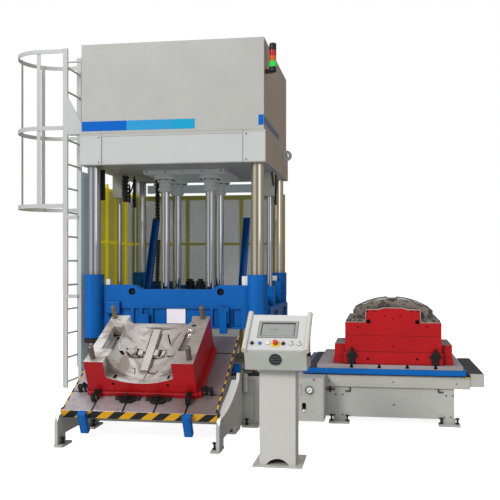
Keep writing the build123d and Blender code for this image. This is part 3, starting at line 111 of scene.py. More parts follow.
plainFinish = {
    "tone": (200, 200, 200), "variation": 0.05, "broadScale": 3.0, "fineScale": 45.0, "roughness": 0.45,
    "roughnessSwing": 0.08, "metallic": 0.0, "specular": 0.5, "coat": 0.0, "coatRoughness": 0.1,
    "bump": 0.04, "bumpDistance": 0.002, "dirt": 0.25, "dirtTone": (92, 86, 78), "dirtReach": 0.06,
    "edgeWear": 0.0, "edgeTone": (220, 220, 220), "edgeRadius": 0.003, "alpha": 1.0, "glow": 0.0,
    "stain": 0.0, "stainTone": (120, 96, 74), "stainScale": 7.0, "stainReach": (0.5, 0.62),
    "fade": None,  # painted shade, colour darkened towards the right where less light falls: left and right end in metres, amount, tone at the right end
}
masks = {
    "broad": (0.35, 0.65), "fine": (0.4, 0.72), "edge": (0.985, 0.9), "broken": (0.42, 0.56),
    "corner": (0.35, 0.95), "rough": (0.3, 0.7),
    "fineShare": 4,  # how much of the variation the fine grain shows
    "fineDepth": 1.6,
}


def makeFinish(name, **changes):
    values = dict(plainFinish, **changes)
    material = bpy.data.materials.new(name)
    material.use_nodes = True
    tree = material.node_tree
    shader = tree.nodes["Principled BSDF"]
    place = tree.nodes.new("ShaderNodeTexCoord").outputs["Object"]

    def noise(**sockets):
        node = addNode(tree, "ShaderNodeTexNoise", **sockets)
        tree.links.new(place, node.inputs["Vector"])
        return node.outputs["Fac"]

    broad = noise(Scale=values["broadScale"], Detail=4.0)
    fine = noise(Scale=values["fineScale"], Detail=6.0, Roughness=0.6)
    tone = colour(*values["tone"])
    swing = values["variation"]
    broadMask = ranged(tree, broad, *masks["broad"], 0.0, 1.0)
    base = mixColour(tree, broadMask, shaded(tone, 1 - swing), shaded(tone, 1 + swing))
    fineMask = ranged(tree, fine, *masks["fine"], 0.0, min(1.0, swing * masks["fineShare"]))
    base = mixColour(tree, fineMask, base, shaded(tone, 1 - swing * masks["fineDepth"]))
    if values["stain"] > 0:
        blot = noise(Scale=values["stainScale"], Detail=5.0, Distortion=1.2)
        blotMask = ranged(tree, blot, *values["stainReach"], 0.0, values["stain"])
        base = mixColour(tree, blotMask, base, colour(*values["stainTone"]))
    # painted shade: the colour darkens from the left end to the right end
    if values["fade"]:
        nearX, farX, amount, farTone = values["fade"]
        across = tree.nodes.new("ShaderNodeSeparateXYZ")
        tree.links.new(place, across.inputs[0])
        fadeMask = ranged(tree, across.outputs["X"], nearX, farX, 0.0, amount)
        base = mixColour(tree, fadeMask, base, colour(*farTone))

    bevel = addNode(tree, "ShaderNodeBevel", Radius=values["edgeRadius"], samples=4)
    # lighter colour along sharp edges: partly real wear, partly a painted highlight where edges catch the
    # light
    if values["edgeWear"] > 0:
        flat = tree.nodes.new("ShaderNodeNewGeometry").outputs["Normal"]
        facing = joined(tree, "ShaderNodeVectorMath", "DOT_PRODUCT", bevel.outputs["Normal"], flat)
        edge = ranged(tree, facing["Value"], *masks["edge"], 0.0, 1.0)
        broken = ranged(tree, fine, *masks["broken"], 0.0, values["edgeWear"])
        worn = joined(tree, "ShaderNodeMath", "MULTIPLY", edge, broken)[0]
        base = mixColour(tree, worn, base, colour(*values["edgeTone"]))
    # painted shade: ambient occlusion darkens the colour in corners and creases, where shade falls, and also
    # stands for dirt gathered there
    if values["dirt"] > 0:
        corner = addNode(tree, "ShaderNodeAmbientOcclusion", Distance=values["dirtReach"], samples=4)
        shade = ranged(tree, corner.outputs["AO"], *masks["corner"], values["dirt"], 0.0)
        base = mixColour(tree, shade, base, colour(*values["dirtTone"]))
    tree.links.new(base, shader.inputs["Base Color"])

    low = max(0.02, values["roughness"] - values["roughnessSwing"])
    high = min(1.0, values["roughness"] + values["roughnessSwing"])
    tree.links.new(ranged(tree, fine, *masks["rough"], low, high), shader.inputs["Roughness"])
    for socket, key in (("Metallic", "metallic"), ("Specular IOR Level", "specular"), ("Coat Weight", "coat"),
                        ("Coat Roughness", "coatRoughness"), ("Alpha", "alpha")):
        shader.inputs[socket].default_value = values[key]
    # emission: real light on the signal lamps and the screen, even brightness on the floor, and painted light
    # on the other parts
    if values["glow"] > 0:
        shader.inputs["Emission Color"].default_value = tone
        shader.inputs["Emission Strength"].default_value = values["glow"]
    bump = addNode(tree, "ShaderNodeBump", Strength=values["bump"], Distance=values["bumpDistance"])
    tree.links.new(fine, bump.inputs["Height"])
    tree.links.new(bevel.outputs["Normal"], bump.inputs["Normal"])
    tree.links.new(bump.outputs["Normal"], shader.inputs["Normal"])
    return material


def paint(tone, roughness, variation=0.05, **changes):
    return dict(changes, tone=tone, roughness=roughness, variation=variation)


stripePaint = dict(roughness=0.5, variation=0.03, specular=0.1, dirt=0.0, bump=0.01)
lampGlass = dict(roughness=0.2, variation=0.05, coat=0.4, dirt=0.0)
chromeGloss = dict(metallic=1.0, roughness=0.07, roughnessSwing=0.02, variation=0.02, bump=0.0, dirt=0.35)
finishValues = {  # tone, roughness, variation, then what else differs from the plain finish
    # painted shade: a warmer, browner copy of the crown grey for the faces turned to the right, the shaded
    # side
    "crownSide": paint((186, 167, 146), 0.42, 0.03),
    "coverLight": paint((202, 204, 203), 0.42, 0.03),
    "crownGrey": paint((187, 187, 182), 0.42, 0.03),
    "frameGrey": paint((186, 187, 181), 0.42, 0.04),
    # painted light: the duct grey is lightened and glows so the shaded duct looks lit
    "ductGrey": paint((172, 184, 187), 0.4, 0.04, glow=0.2),
    "deskFront": paint((188, 190, 183), 0.42, 0.03),
    "deskGrey": paint((206, 205, 200), 0.4, 0.03),
    "lightGrey": paint((200, 202, 201), 0.4, 0.03),
    "coverGrey": paint((186, 184, 176), 0.38, 0.04),
    "pressBlue": paint((0, 100, 184), 0.34, 0.06, specular=0.2, coat=0.16, dirtTone=(6, 22, 60), dirt=0.5,
        edgeWear=0.2, edgeTone=(90, 150, 215)),
    "mouldRed": paint((186, 18, 26), 0.38, 0.08, specular=0.25, coat=0.1, bump=0.1, dirtTone=(60, 12, 14),
        dirt=0.5, edgeWear=0.25, edgeTone=(205, 90, 90)),
    # painted light on the mould steel: a slight glow, plus painted shade darkening it towards the right
    "mouldSteel": paint((255, 252, 247), 0.32, 0.16, metallic=0.3, roughnessSwing=0.14, broadScale=5.0,
        fineScale=22.0, bump=0.08, dirtTone=(58, 48, 40), dirt=0.75, dirtReach=0.09, edgeWear=0.75,
        edgeTone=(250, 248, 244), edgeRadius=0.005, stain=0.8, stainTone=(146, 122, 104), stainScale=5.5,
        stainReach=(0.46, 0.62), glow=0.03, fade=(-0.42, 0.32, 0.9, (164, 150, 143))),
    "domeSteel": paint((158, 146, 138), 0.36, 0.2, metallic=0.5, roughnessSwing=0.14, broadScale=8.0,
        fineScale=26.0, bump=0.12, bumpDistance=0.003, dirtTone=(40, 34, 30), dirt=0.8, dirtReach=0.05,
        edgeWear=0.7, edgeTone=(225, 214, 204), edgeRadius=0.004, stain=0.8, stainTone=(66, 66, 56),
        stainScale=15.0, stainReach=(0.5, 0.56)),
    "brightSteel": paint((218, 212, 204), 0.3, 0.08, metallic=0.4, fineScale=30.0, dirtTone=(90, 78, 66),
        dirt=0.5),
    "brownSteel": paint((132, 108, 84), 0.4, 0.2, metallic=0.5),
    "machinedSteel": paint((196, 188, 180), 0.32, 0.12, metallic=0.85, roughnessSwing=0.1, broadScale=9.0,
        fineScale=30.0, bump=0.05, bumpDistance=0.001, dirtTone=(62, 54, 46), dirt=0.6, edgeWear=0.5,
        edgeTone=(245, 242, 236)),
    # painted shade: the bolster steel darkens towards the right
    "bolsterSteel": paint((200, 194, 198), 0.38, 0.12, metallic=0.4, stain=0.25, stainTone=(120, 92, 92),
        fade=(-0.6, 0.55, 0.85, (122, 104, 102))),
    "groundPlate": paint((176, 164, 168), 0.42, 0.1, metallic=0.4, dirtTone=(40, 34, 34), dirt=0.7,
        bump=0.06),
    "chrome": dict(chromeGloss, tone=(214, 214, 216), dirtTone=(30, 30, 34)),
    # painted reflection: chrome tinted warm on the right column, for the beige it reflects
    "chromeWarm": dict(chromeGloss, tone=(236, 222, 198), dirtTone=(40, 34, 26)),
    "darkSteel": paint((44, 44, 46), 0.45, 0.15, metallic=0.6, dirtTone=(14, 13, 12), edgeWear=0.3,
        edgeTone=(120, 118, 115)),
    "boltSteel": paint((150, 150, 150), 0.35, 0.1, metallic=0.9),
    "blackPlastic": paint((28, 28, 31), 0.5, 0.12, dirtTone=(60, 58, 55), bump=0.1),
    "blackRubber": paint((24, 24, 25), 0.72, 0.15, dirtTone=(60, 58, 55), bump=0.15),
    # painted light: the guard frames, guard sheets and rear posts glow slightly
    "yellowPaint": paint((238, 220, 30), 0.4, dirt=0.0, glow=0.22),
    "yellowSheet": paint((206, 198, 60), 0.3, alpha=0.86, dirt=0.0, glow=0.12),
    "rearPost": paint((170, 168, 84), 0.45, 0.06, dirt=0.0, glow=0.06),
    "rearSheet": paint((188, 196, 190), 0.35, alpha=0.66, dirt=0.0),
    # painted highlight: lighter red for the lit edge of the mould's foot flange
    "redEdge": paint((216, 92, 88), 0.4, 0.06, dirt=0.0),
    "hazardYellow": paint((240, 178, 16), 0.45, 0.06, bump=0.05),
    "hazardBlack": paint((26, 26, 26), 0.5, 0.1, bump=0.05),
    "stripeDark": dict(stripePaint, tone=(0, 104, 204)),
    "stripeLight": dict(stripePaint, tone=(50, 162, 220)),
    "stripeTeal": dict(stripePaint, tone=(30, 168, 214)),
    # painted sheen: the band on the right side is a paler, greyer copy of the stripe blue
    "stripeSide": dict(stripePaint, tone=(120, 132, 156)),
    "creamPlastic": paint((212, 206, 190), 0.35, 0.03, coat=0.2),
    "whitePanel": paint((212, 212, 211), 0.35, 0.02),
    "whitePlastic": paint((246, 246, 244), 0.3, 0.03, coat=0.3),
    "bluePlastic": paint((20, 84, 190), 0.25, coat=0.5),
    "redPlastic": paint((204, 20, 28), 0.28, coat=0.5),
    "yellowPlastic": paint((246, 208, 22), 0.35, 0.04),
    "screenBezel": paint((158, 158, 160), 0.4, 0.04, dirt=0.3),
    "screenGlass": paint((152, 156, 150), 0.25, 0.03, glow=0.02, dirt=0.0, bump=0.0),
    "screenDark": paint((52, 54, 58), 0.3, 0.04, dirt=0.0, bump=0.0),
    "grilleDark": paint((88, 96, 98), 0.5, 0.06),
    # painted light: the gland grey glows to brighten the shaded plate and glands under the crown
    "glandGrey": paint((176, 184, 181), 0.4, 0.04, glow=0.12),
    # painted light: lighter, glowing frame grey for the up-facing faces of the arch
    "archGrey": paint((232, 231, 226), 0.4, 0.03, dirt=0.0, glow=0.42),
    "lampRed": dict(lampGlass, tone=(196, 26, 26), glow=0.08),
    "lampAmber": dict(lampGlass, tone=(214, 100, 26), glow=0.08),
    "lampGreen": dict(lampGlass, tone=(20, 190, 62), glow=0.5),
    "deepShade": paint((14, 13, 13), 0.8, 0.2, specular=0.1, dirt=0.0),
    "coverDark": paint((34, 33, 35), 0.6, 0.15, dirt=0.0),
    "pinSteel": paint((138, 124, 112), 0.35, 0.15, metallic=0.7),
    # painted light: the card and the gauge dial glow slightly
    "cardWhite": paint((246, 243, 250), 0.6, 0.03, dirt=0.0, glow=0.08),
}

finish = {name: makeFinish(name, **values) for name, values in finishValues.items()}
print("finishes made:", len(finish))


# Shop tools: each add function puts one form into an open mesh

def turnedTo(direction):
    return Vector((0, 0, 1)).rotation_difference(Vector(direction)).to_matrix().to_4x4()


def aimed(start, end):
    start, end = Vector(start), Vector(end)
    return Matrix.Translation((start + end) / 2) @ turnedTo(end - start), (end - start).length


def addBlock(mesh, x0, x1, y0, y1, z0, z1):
    centre = Vector(((x0 + x1) / 2, (y0 + y1) / 2, (z0 + z1) / 2))
    size = Matrix.Diagonal((abs(x1 - x0), abs(y1 - y0), abs(z1 - z0), 1))
    return bmesh.ops.create_cube(mesh, size=1, matrix=Matrix.Translation(centre) @ size)["verts"]


def addRod(mesh, start, end, radius, sides=28):
    matrix, length = aimed(start, end)
    bmesh.ops.create_cone(mesh, cap_ends=True, segments=sides, radius1=radius, radius2=radius, depth=length,
                          matrix=matrix)


def addTurned(mesh, place, direction, profile, sides=32, hollow=False):
    matrix = Matrix.Translation(Vector(place)) @ turnedTo(direction)
    turns = [2 * math.pi * i / sides for i in range(sides)]
    rings = [[mesh.verts.new(matrix @ Vector((radius * math.cos(turn), radius * math.sin(turn), height)))
              for turn in turns] for radius, height in profile]
    for low, high in zip(rings, rings[1:] + rings[:1] if hollow else rings[1:]):
        for i in range(sides):
            j = (i + 1) % sides
            mesh.faces.new((low[i], low[j], high[j], high[i]))
    if not hollow:
        mesh.faces.new(list(reversed(rings[0])))
        mesh.faces.new(rings[-1])


def addRing(mesh, place, direction, inner, outer, height):
    profile = [(inner, 0), (outer, 0), (outer, height), (inner, height)]
    addTurned(mesh, place, direction, profile, sides=36, hollow=True)


boltProfile = {  # radius and height of each step, as shares of the head's
    "height": 0.9,
    "steps": ((0.98, 0), (1, 0.06), (1, 0.82), (0.86, 1), (0.52, 1), (0.5, 0.35)),
    "socketFloor": (0.0002, 0.3),
}


def addBolt(mesh, place, radius, direction=(0, -1, 0)):
    height = radius * boltProfile["height"]
    profile = [(radius * wide, height * high) for wide, high in boltProfile["steps"]]
    point, floor = boltProfile["socketFloor"]
    addTurned(mesh, place, direction, profile + [(point, height * floor)], sides=20)


def addPrism(mesh, outline, front, back):
    near = [mesh.verts.new((a, front, b)) for a, b in outline]
    far = [mesh.verts.new((a, back, b)) for a, b in outline]
    mesh.faces.new(near)
    mesh.faces.new(list(reversed(far)))
    for i in range(len(outline)):
        j = (i + 1) % len(outline)
        mesh.faces.new((near[j], near[i], far[i], far[j]))


# the three blocks of a chain link: width, thickness, length and shift, as shares
chainBlocks = ((1, 1, 0.62, 0), (0.7, 0.7, 1, 0), (1.08, 0.35, 0.3, 0.2))


def addChain(mesh, start, end, width, thick, pitch):
    matrix, length = aimed(start, end)
    count = max(1, round(length / pitch))
    step = length / count
    for i in range(count):
        for wide, deep, tall, shift in chainBlocks:
            middle = Matrix.Translation((0, thick * shift, (i + 0.5) * step - length / 2))
            size = Matrix.Diagonal((width * wide, thick * deep, step * tall, 1))
            bmesh.ops.create_cube(mesh, size=1, matrix=matrix @ middle @ size)


def addPatch(mesh, floor, corners, rise, steps=6, sink=0.004):  # a skin that follows the floor
    first, second, third, fourth = (Vector(corner) for corner in corners)
    rows = []
    for i in range(steps + 1):
        sides = [(first.lerp(second, j / steps), fourth.lerp(third, j / steps)) for j in range(steps + 1)]
        rows.append([floor(*near.lerp(far, i / steps)) for near, far in sides])
    tops = [[mesh.verts.new(spot + Vector((0, 0, rise))) for spot in row] for row in rows]
    lows = [[mesh.verts.new(spot - Vector((0, 0, sink))) for spot in row] for row in rows]
    for i in range(steps):
        for j in range(steps):
            mesh.faces.new((tops[i][j], tops[i][j + 1], tops[i + 1][j + 1], tops[i + 1][j]))
            mesh.faces.new((lows[i][j], lows[i + 1][j], lows[i + 1][j + 1], lows[i][j + 1]))
    rim = [(0, j) for j in range(steps)] + [(i, steps) for i in range(steps)]
    rim += [(steps, j) for j in range(steps, 0, -1)] + [(i, 0) for i in range(steps, 0, -1)]
    for (a, b), (c, d) in zip(rim, rim[1:] + rim[:1]):
        mesh.faces.new((tops[c][d], tops[a][b], lows[a][b], lows[c][d]))


roundedEdge = {"segments": 2, "angle": math.radians(35)}


def makePiece(name, mesh, finishName, body="press", place=None, bevel=0.0):
    if place is not None:
        bmesh.ops.transform(mesh, matrix=place, verts=mesh.verts)
    bmesh.ops.recalc_face_normals(mesh, faces=mesh.faces)
    data = bpy.data.meshes.new(name)
    mesh.to_mesh(data)
    mesh.free()
    data.materials.append(finish[finishName])
    piece = bpy.data.objects.new(name, data)
    bpy.context.scene.collection.objects.link(piece)
    if bevel > 0:
        rounding = piece.modifiers.new("rounding", "BEVEL")
        rounding.width = bevel
        rounding.segments = roundedEdge["segments"]
        rounding.limit_method = "ANGLE"
        rounding.angle_limit = roundedEdge["angle"]
        rounding.use_clamp_overlap = True
    for face in data.polygons:
        face.use_smooth = True
    data.set_sharp_from_angle(angle=roundedEdge["angle"])
    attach(piece, body)


formTools = {
    "blocks": addBlock, "rods": addRod, "screws": addBolt, "rings": addRing, "turned": addTurned,
    "prisms": addPrism, "chains": addChain, "patches": addPatch,
}


def makePieces(pieces, body="press", place=None):  # each piece names a finish and lists its forms
    for name, values in pieces.items():
        mesh = bmesh.new()
        for key, addForm in formTools.items():
            for form in values.get(key, ()):
                addForm(mesh, *form)
        makePiece(name, mesh, values["finish"], values.get("body", body), place, values.get("bevel", 0.0))


def makePipe(name, points, radius, finishName="blackRubber", body="press"):
    data = bpy.data.curves.new(name, "CURVE")
    data.dimensions = "3D"
    data.bevel_depth = radius
    data.bevel_resolution = 4
    data.use_fill_caps = True
    data.resolution_u = 10
    spline = data.splines.new("NURBS")
    spline.points.add(len(points) - 1)
    for spot, point in zip(spline.points, points):
        spot.co = (*point, 1)
    spline.order_u = 3
    spline.use_endpoint_u = True
    data.materials.append(finish[finishName])
    pipe = bpy.data.objects.new(name, data)
    bpy.context.scene.collection.objects.link(pipe)
    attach(pipe, body)


# Places that several pieces share, in metres

bolster = {
    "pivot": (0, -1.1, 0.585), "tilt": 27.23, "top": 0.1973, "edge": -0.9737,
    "mouldFront": 0.224,  # from the plate's front edge
    "mouldBack": 1.018, "mouldLeft": -0.478, "mouldRight": 0.479, "skin": 0.004, "upright": 0.5,
}
bolsterPlace = (Matrix.Translation(bolster["pivot"])
                @ Matrix.Rotation(math.radians(bolster["tilt"]), 4, "X"))
fromBolster = bolsterPlace.inverted()
bolsterTop, bolsterEdge = bolster["top"], bolster["edge"]
mouldFront = bolsterEdge + bolster["mouldFront"]

desk = {
    "x": 1.27, "panel": (-2.6, 0.94), "slope": (0.245, 0.33), "grilleZ": 0.86, "grilleHalf": 0.052,
    "grilleFront": -2.52,
    "cheek": (0.242, 0.0235, 0.9),  # distance from the middle, half width, lowest level
    "frontTop": 0.935,
}
deskPlace = (Matrix.Translation((desk["x"], *desk["panel"]))
             @ Matrix.Rotation(math.atan2(*desk["slope"]), 4, "X"))

cabinet = {
    "front": -0.95, "skin": 0.0005, "gauge": (1.391, 0.368), "gaugeRim": (0.031, 0.039),
    "latch": (1.339, 0.191), "latchHalf": (0.027, 0.052), "lamp": (1.434, 0.469), "lampRadius": 0.011,
}


def nodeBox(name):
    corners = [Vector(corner) for corner in cadNodes[name].bound_box]
    return [(min(corner[i] for corner in corners), max(corner[i] for corner in corners)) for i in range(3)]


# Finishes on the carried-over nodes: most have one, some change it from face to face

nodeFinish = {
    "frameGrey": ("press_base", "hydraulic_unit", "lift_cylinders", "side_table", "valve_cabinet",
        "side_cylinders", "lifting_hooks", "side_frame_left", "side_frame_right"),
    "machinedSteel": ("slide_rails", "platen_plate"),
    "darkSteel": ("locking_pins", "platen_fittings", "bolster_rollers", "mould_clamps", "levelling_bolts"),
    "mouldSteel": ("lower_mould_cavity",), "pinSteel": ("mould_pins",),
    "domeSteel": ("upper_mould_core",), "chrome": ("columns", "lift_rods"),
    "crownGrey": ("crown_beam", "crown_housing"), "glandGrey": ("cylinder_plate", "rod_glands"),
    "blackPlastic": ("lamp_body", "selector_left", "selector_right", "side_knob", "gauge_needle"),
    "whitePlastic": ("cabinet_latch", "button_white", "switch_left", "switch_right"),
    "lampAmber": ("lamp_lenses",),
    "lightGrey": ("ladder_stiles", "ladder_rungs", "cage_hoops", "cage_bars", "ladder_brackets"),
    "ductGrey": ("cable_duct",), "coverGrey": ("table_covers",), "deskGrey": ("desk_pedestal",),
    "whitePanel": ("desk_box",), "yellowPaint": ("guard_frames",), "yellowSheet": ("guard_panels",),
    "pressBlue": ("upper_platen", "chain_brackets", "bolster_arms", "bearing_blocks", "carriage_frame",
        "platen_clamps"),
    "blackRubber": ("sleeve_wipers",), "bolsterSteel": ("bolster_plate",),
    "groundPlate": ("tslot_table",), "mouldRed": ("lower_mould_base", "upper_mould_base"),
    "screenBezel": ("desk_screen",), "bluePlastic": ("button_blue",), "redPlastic": ("emergency_stop",),
}
lensLow, lensHigh = nodeBox("lamp_lenses")[2]


def lensChoice(centre, normal):
    return 2 - min(2, int(3 * (centre.z - lensLow) / (lensHigh - lensLow)))


def mouldChoice(centre, normal):
    local = fromBolster @ centre
    turned = fromBolster.to_3x3() @ normal
    front, back = mouldFront + bolster["skin"], bolsterEdge + bolster["mouldBack"] - bolster["skin"]
    outside = not (bolster["mouldLeft"] <= local.x <= bolster["mouldRight"] and front <= local.y <= back)
    return outside and turned.z < bolster["upright"]


def deskChoice(centre, normal):
    aside = centre.x - desk["x"]
    reach = desk["grilleHalf"]
    if abs(aside) < reach and abs(centre.z - desk["grilleZ"]) < reach and centre.y < desk["grilleFront"]:
        return 2
    cheekX, cheekHalf, cheekLow = desk["cheek"]
    if abs(abs(aside) - cheekX) < cheekHalf and centre.z > cheekLow and normal.x * aside > -0.02:
        return 1
    return 3 if centre.z < desk["frontTop"] else 0


def cabinetChoice(centre, normal):
    front, skin = cabinet["front"], cabinet["skin"]
    (latchX, latchZ), (halfX, halfZ) = cabinet["latch"], cabinet["latchHalf"]
    if abs(centre.x - latchX) < halfX and abs(centre.z - latchZ) < halfZ and centre.y > front + skin:
        return 1
    if centre.y >= front - skin:
        return 0
    fromGauge, fromLamp = (math.hypot(centre.x - cabinet[key][0], centre.z - cabinet[key][1])
                           for key in ("gauge", "lamp"))
    inner, outer = cabinet["gaugeRim"]
    if fromGauge < outer and (fromGauge > inner or abs(normal.y) < 0.5):
        return 2
    return 3 if fromLamp < cabinet["lampRadius"] else 0


borders = {  # where the second finish of a node begins, in metres
    "rearPost": 0.93, "rearSheet": 0.63, "endCover": 2.95, "warmColumn": 0.5, "platenSide": 0.6,
    "archFront": -1.15, "archLow": 0.25, "shoulder": (0.75, 0.8), "mouldTop": 0.99,
}
leaning = {"up": 0.5, "arch": 0.15, "right": 0.7}  # least share of a face's normal in that direction


def archChoice(centre, normal):  # the hollowed top edge of a side frame; its up-facing faces get painted light, a lighter, glowing copy of the frame grey
    return normal.z > leaning["arch"] and centre.y < borders["archFront"] and centre.z > borders["archLow"]


def mouldTopChoice(centre, normal):  # the shoulders and the top are bare steel
    low, high = borders["shoulder"]
    return normal.z > leaning["up"] and (low < centre.z < high or centre.z > borders["mouldTop"])


# painted shade: picks the faces turned to the right for the shaded copy of the paint
def sideChoice(centre, normal):
    return normal.x > leaning["right"]


choices = {
    "lamp_lenses": (("lampRed", "lampAmber", "lampGreen"), lensChoice),
    "guard_frames": (("yellowPaint", "rearPost"), lambda c, n: c.y > borders["rearPost"]),
    "guard_panels": (("yellowSheet", "rearSheet"), lambda c, n: c.y > borders["rearSheet"]),
    "lower_mould_cavity": (("mouldSteel", "mouldRed"), mouldChoice),
    "table_covers": (("coverGrey", "coverDark"),
        lambda c, n: c.x > borders["endCover"] and n.z > leaning["up"]),
    "desk_box": (("whitePanel", "creamPlastic", "grilleDark", "deskFront"), deskChoice),
    "valve_cabinet": (("frameGrey", "deepShade", "darkSteel", "redPlastic"), cabinetChoice),
    "side_frame_left": (("frameGrey", "archGrey"), archChoice),
    "side_frame_right": (("frameGrey", "archGrey"), archChoice),
    "columns": (("chrome", "chromeWarm"), lambda c, n: c.x > borders["warmColumn"]),
    "upper_mould_base": (("mouldRed", "domeSteel"), mouldTopChoice),
    "crown_housing": (("crownGrey", "crownSide"), sideChoice),
    "crown_beam": (("crownGrey", "crownSide"), sideChoice),
    "platen_fittings": (("darkSteel", "whitePlastic", "pressBlue"),
        lambda c, n: 0 if abs(c.x) < borders["platenSide"] else 1 if c.y < 0 else 2),
}
nodeEdges = {"weld": 0.00002, "sharp": 28}


def dressNode(name, finishNames, choose):
    node = cadNodes[name]
    node.data.materials.clear()
    for finishName in finishNames:
        node.data.materials.append(finish[finishName])
    for face in node.data.polygons:
        face.use_smooth = True
        face.material_index = int(choose(face.center, face.normal)) if choose else 0
    node.modifiers.new("weld", "WELD").merge_threshold = nodeEdges["weld"]
    node.modifiers.new("sharpEdges", "EDGE_SPLIT").split_angle = math.radians(nodeEdges["sharp"])


for finishName, names in nodeFinish.items():
    for name in names:
        dressNode(name, *choices.get(name, ((finishName,), None)))
print("nodes dressed")

# Crown: skin over the seams, coloured bands, covers and their screws

crown = {  # depths of the skin, the bands, the covers and the painted shadow lines on the covers
    "skin": (-0.9536, -0.953), "band": (-0.9542, -0.9536), "cover": (-0.9595, -0.957),
    "shadow": (-0.9602, -0.9594), "coverHeight": (2.612, 2.9), "screwRadius": 0.007,
}
crownBands = {  # left, right, low, high, finish
    "bandDark": (-0.941, -0.465, 2.95, 3.05, "stripeDark"),
    "bandLight0": (-0.465, -0.228, 2.95, 3.05, "stripeLight"),
    "bandLight1": (-0.228, 0.009, 2.95, 3.05, "stripeLight"),
    "bandLight2": (0.009, 0.246, 2.95, 3.05, "stripeTeal"),
    "bandCorner": (0.889, 0.9405, 2.968, 3.07, "stripeDark"),
}
makePieces({
    "crownSkin": {"finish": "crownGrey", "blocks": ((-0.9435, 0.9435, *crown["skin"], 2.926, 3.834),)},
    **{name: {"finish": finishName, "blocks": ((x0, x1, *crown["band"], z0, z1),)}
        for name, (x0, x1, z0, z1, finishName) in crownBands.items()},
    # painted sheen: paler band along the right side of the crown
    "bandSide": {"finish": "stripeSide",
        "blocks": ((0.944, 0.9446, -0.949, 0.22, 2.985, 3.056),)},
    "crownCovers": {"finish": "coverLight", "bevel": 0.0012,
        "blocks": [(x0, x1, *crown["cover"], *crown["coverHeight"])
            for x0, x1 in ((-0.957, -0.731), (-0.723, 0.73), (0.738, 0.957))]},
    "crownScrews": {"finish": "boltSteel",
        "screws": [((x, crown["cover"][0], z), crown["screwRadius"])
            for x in (-0.756, 0.767) for z in (2.885, 2.632)]},
    "coverShadow": {"finish": "screenBezel",
        "blocks": ((-0.722, 0.729, *crown["shadow"], 2.89, 2.8945),
            (-0.7228, -0.7195, *crown["shadow"], 2.614, 2.89))},
})

# Glands of the lift rods: bolts and rings, and the screws of the plate above them

glands = {
    "x": (-0.251, 0.251), "y": (-0.253, 0.253), "boltReach": 0.0985, "boltRadius": 0.0105, "boltCount": 8,
    "boltZ": 2.515, "screws": (-0.41, -0.2, 0.0, 0.2, 0.41), "screwSpot": (-0.4455, 2.582, 0.008),
    "rings": ((2.425, 0.068, 0.078, 0.03), (2.508, 0.068, 0.088, 0.02)),  # level, radii, height
}
down = (0, 0, -1)
centres = [(x, y) for x in glands["x"] for y in glands["y"]]
turns = [2 * math.pi * (i + 0.5) / glands["boltCount"] for i in range(glands["boltCount"])]
reach = glands["boltReach"]
screwY, screwZ, screwRadius = glands["screwSpot"]
makePieces({
    "glandBolts": {"finish": "darkSteel",
        "screws": [((x + reach * math.cos(turn), y + reach * math.sin(turn), glands["boltZ"]),
            glands["boltRadius"], down) for x, y in centres for turn in turns]},
    "glandRings": {"finish": "glandGrey", "bevel": 0.002,
        "rings": [((x, y, ring[0]), down, *ring[1:]) for x, y in centres for ring in glands["rings"]]},
    "plateScrews": {"finish": "boltSteel",
        "screws": [((x, screwY, screwZ), screwRadius) for x in glands["screws"]]},
})

# Under the crown: chains, tubes and hoses

hanging = {
    "block": (-0.826, -0.786, -0.72, -0.68, 2.266, 2.586),
    "rods": (((-0.703, -0.12, 2.466), (-0.703, -0.12, 2.28), 0.012),
        ((-0.647, -0.12, 2.543), (-0.647, -0.12, 2.227), 0.017)),
    "rodNeck": 0.035,
    "rightTube": ((0.933, 0.0, 2.577), (0.933, 0.0, 2.245), 0.014),
    "chains": (((-0.748, -0.12, 2.584), (-0.748, -0.12, 2.29), 0.082, 0.05, 0.042),  # width, thickness, pitch
        ((-0.468, 0.2, 2.56), (-0.468, 0.2, 2.1), 0.07, 0.04, 0.04)),
    "platenChain": ((-0.447, 0.1, 1.33), (-0.431, 0.1, 1.87), 0.044, 0.032, 0.034),
    "hoses": {
        "crownHose": (((-0.748, -0.12, 2.56), (-0.74, -0.15, 2.42), (-0.7, -0.16, 2.36),
            (-0.66, -0.15, 2.44), (-0.647, -0.12, 2.55)), 0.008),
        "rightHose": (((0.816, 0.0, 2.602), (0.82, -0.01, 2.566), (0.85, -0.02, 2.55), (0.88, -0.01, 2.566),
            (0.884, 0.0, 2.602)), 0.01),
        "rightHoseLow": (((0.9, -0.06, 2.602), (0.91, -0.07, 2.54), (0.92, -0.075, 2.5),
            (0.92, -0.075, 2.45)), 0.009),
    },
}
neck = Vector((0, 0, hanging["rodNeck"]))
makePieces({
    "columnBlock": {"finish": "blackPlastic", "bevel": 0.004, "blocks": (hanging["block"],)},
    "hangingChains": {"finish": "blackPlastic", "bevel": 0.002, "chains": hanging["chains"]},
    "hangingRods": {"finish": "blackRubber", "bevel": 0.002, "rods": [*hanging["rods"], hanging["rightTube"],
        *((Vector(start) + neck, start, radius * 0.5) for start, end, radius in hanging["rods"])]},
    "platenChain": {"finish": "blackPlastic", "body": "platen", "bevel": 0.0015,
        "chains": (hanging["platenChain"],)},
})
for name, (points, radius) in hanging["hoses"].items():
    makePipe(name, points, radius)

rearRail = {"inset": 0.02, "half": 0.015, "span": (-0.96, 0.92), "height": (2.4205, 2.446)}
rearLine = nodeBox("guard_frames")[1][1] - rearRail["inset"]
depth = (rearLine - rearRail["half"], rearLine + rearRail["half"])
makePieces({"rearTopRail": {"finish": "rearPost", "bevel": 0.002,
    "blocks": ((*rearRail["span"], *depth, *rearRail["height"]),)}})
print("crown done")

# Base: rail band along the front edge, small cylinder

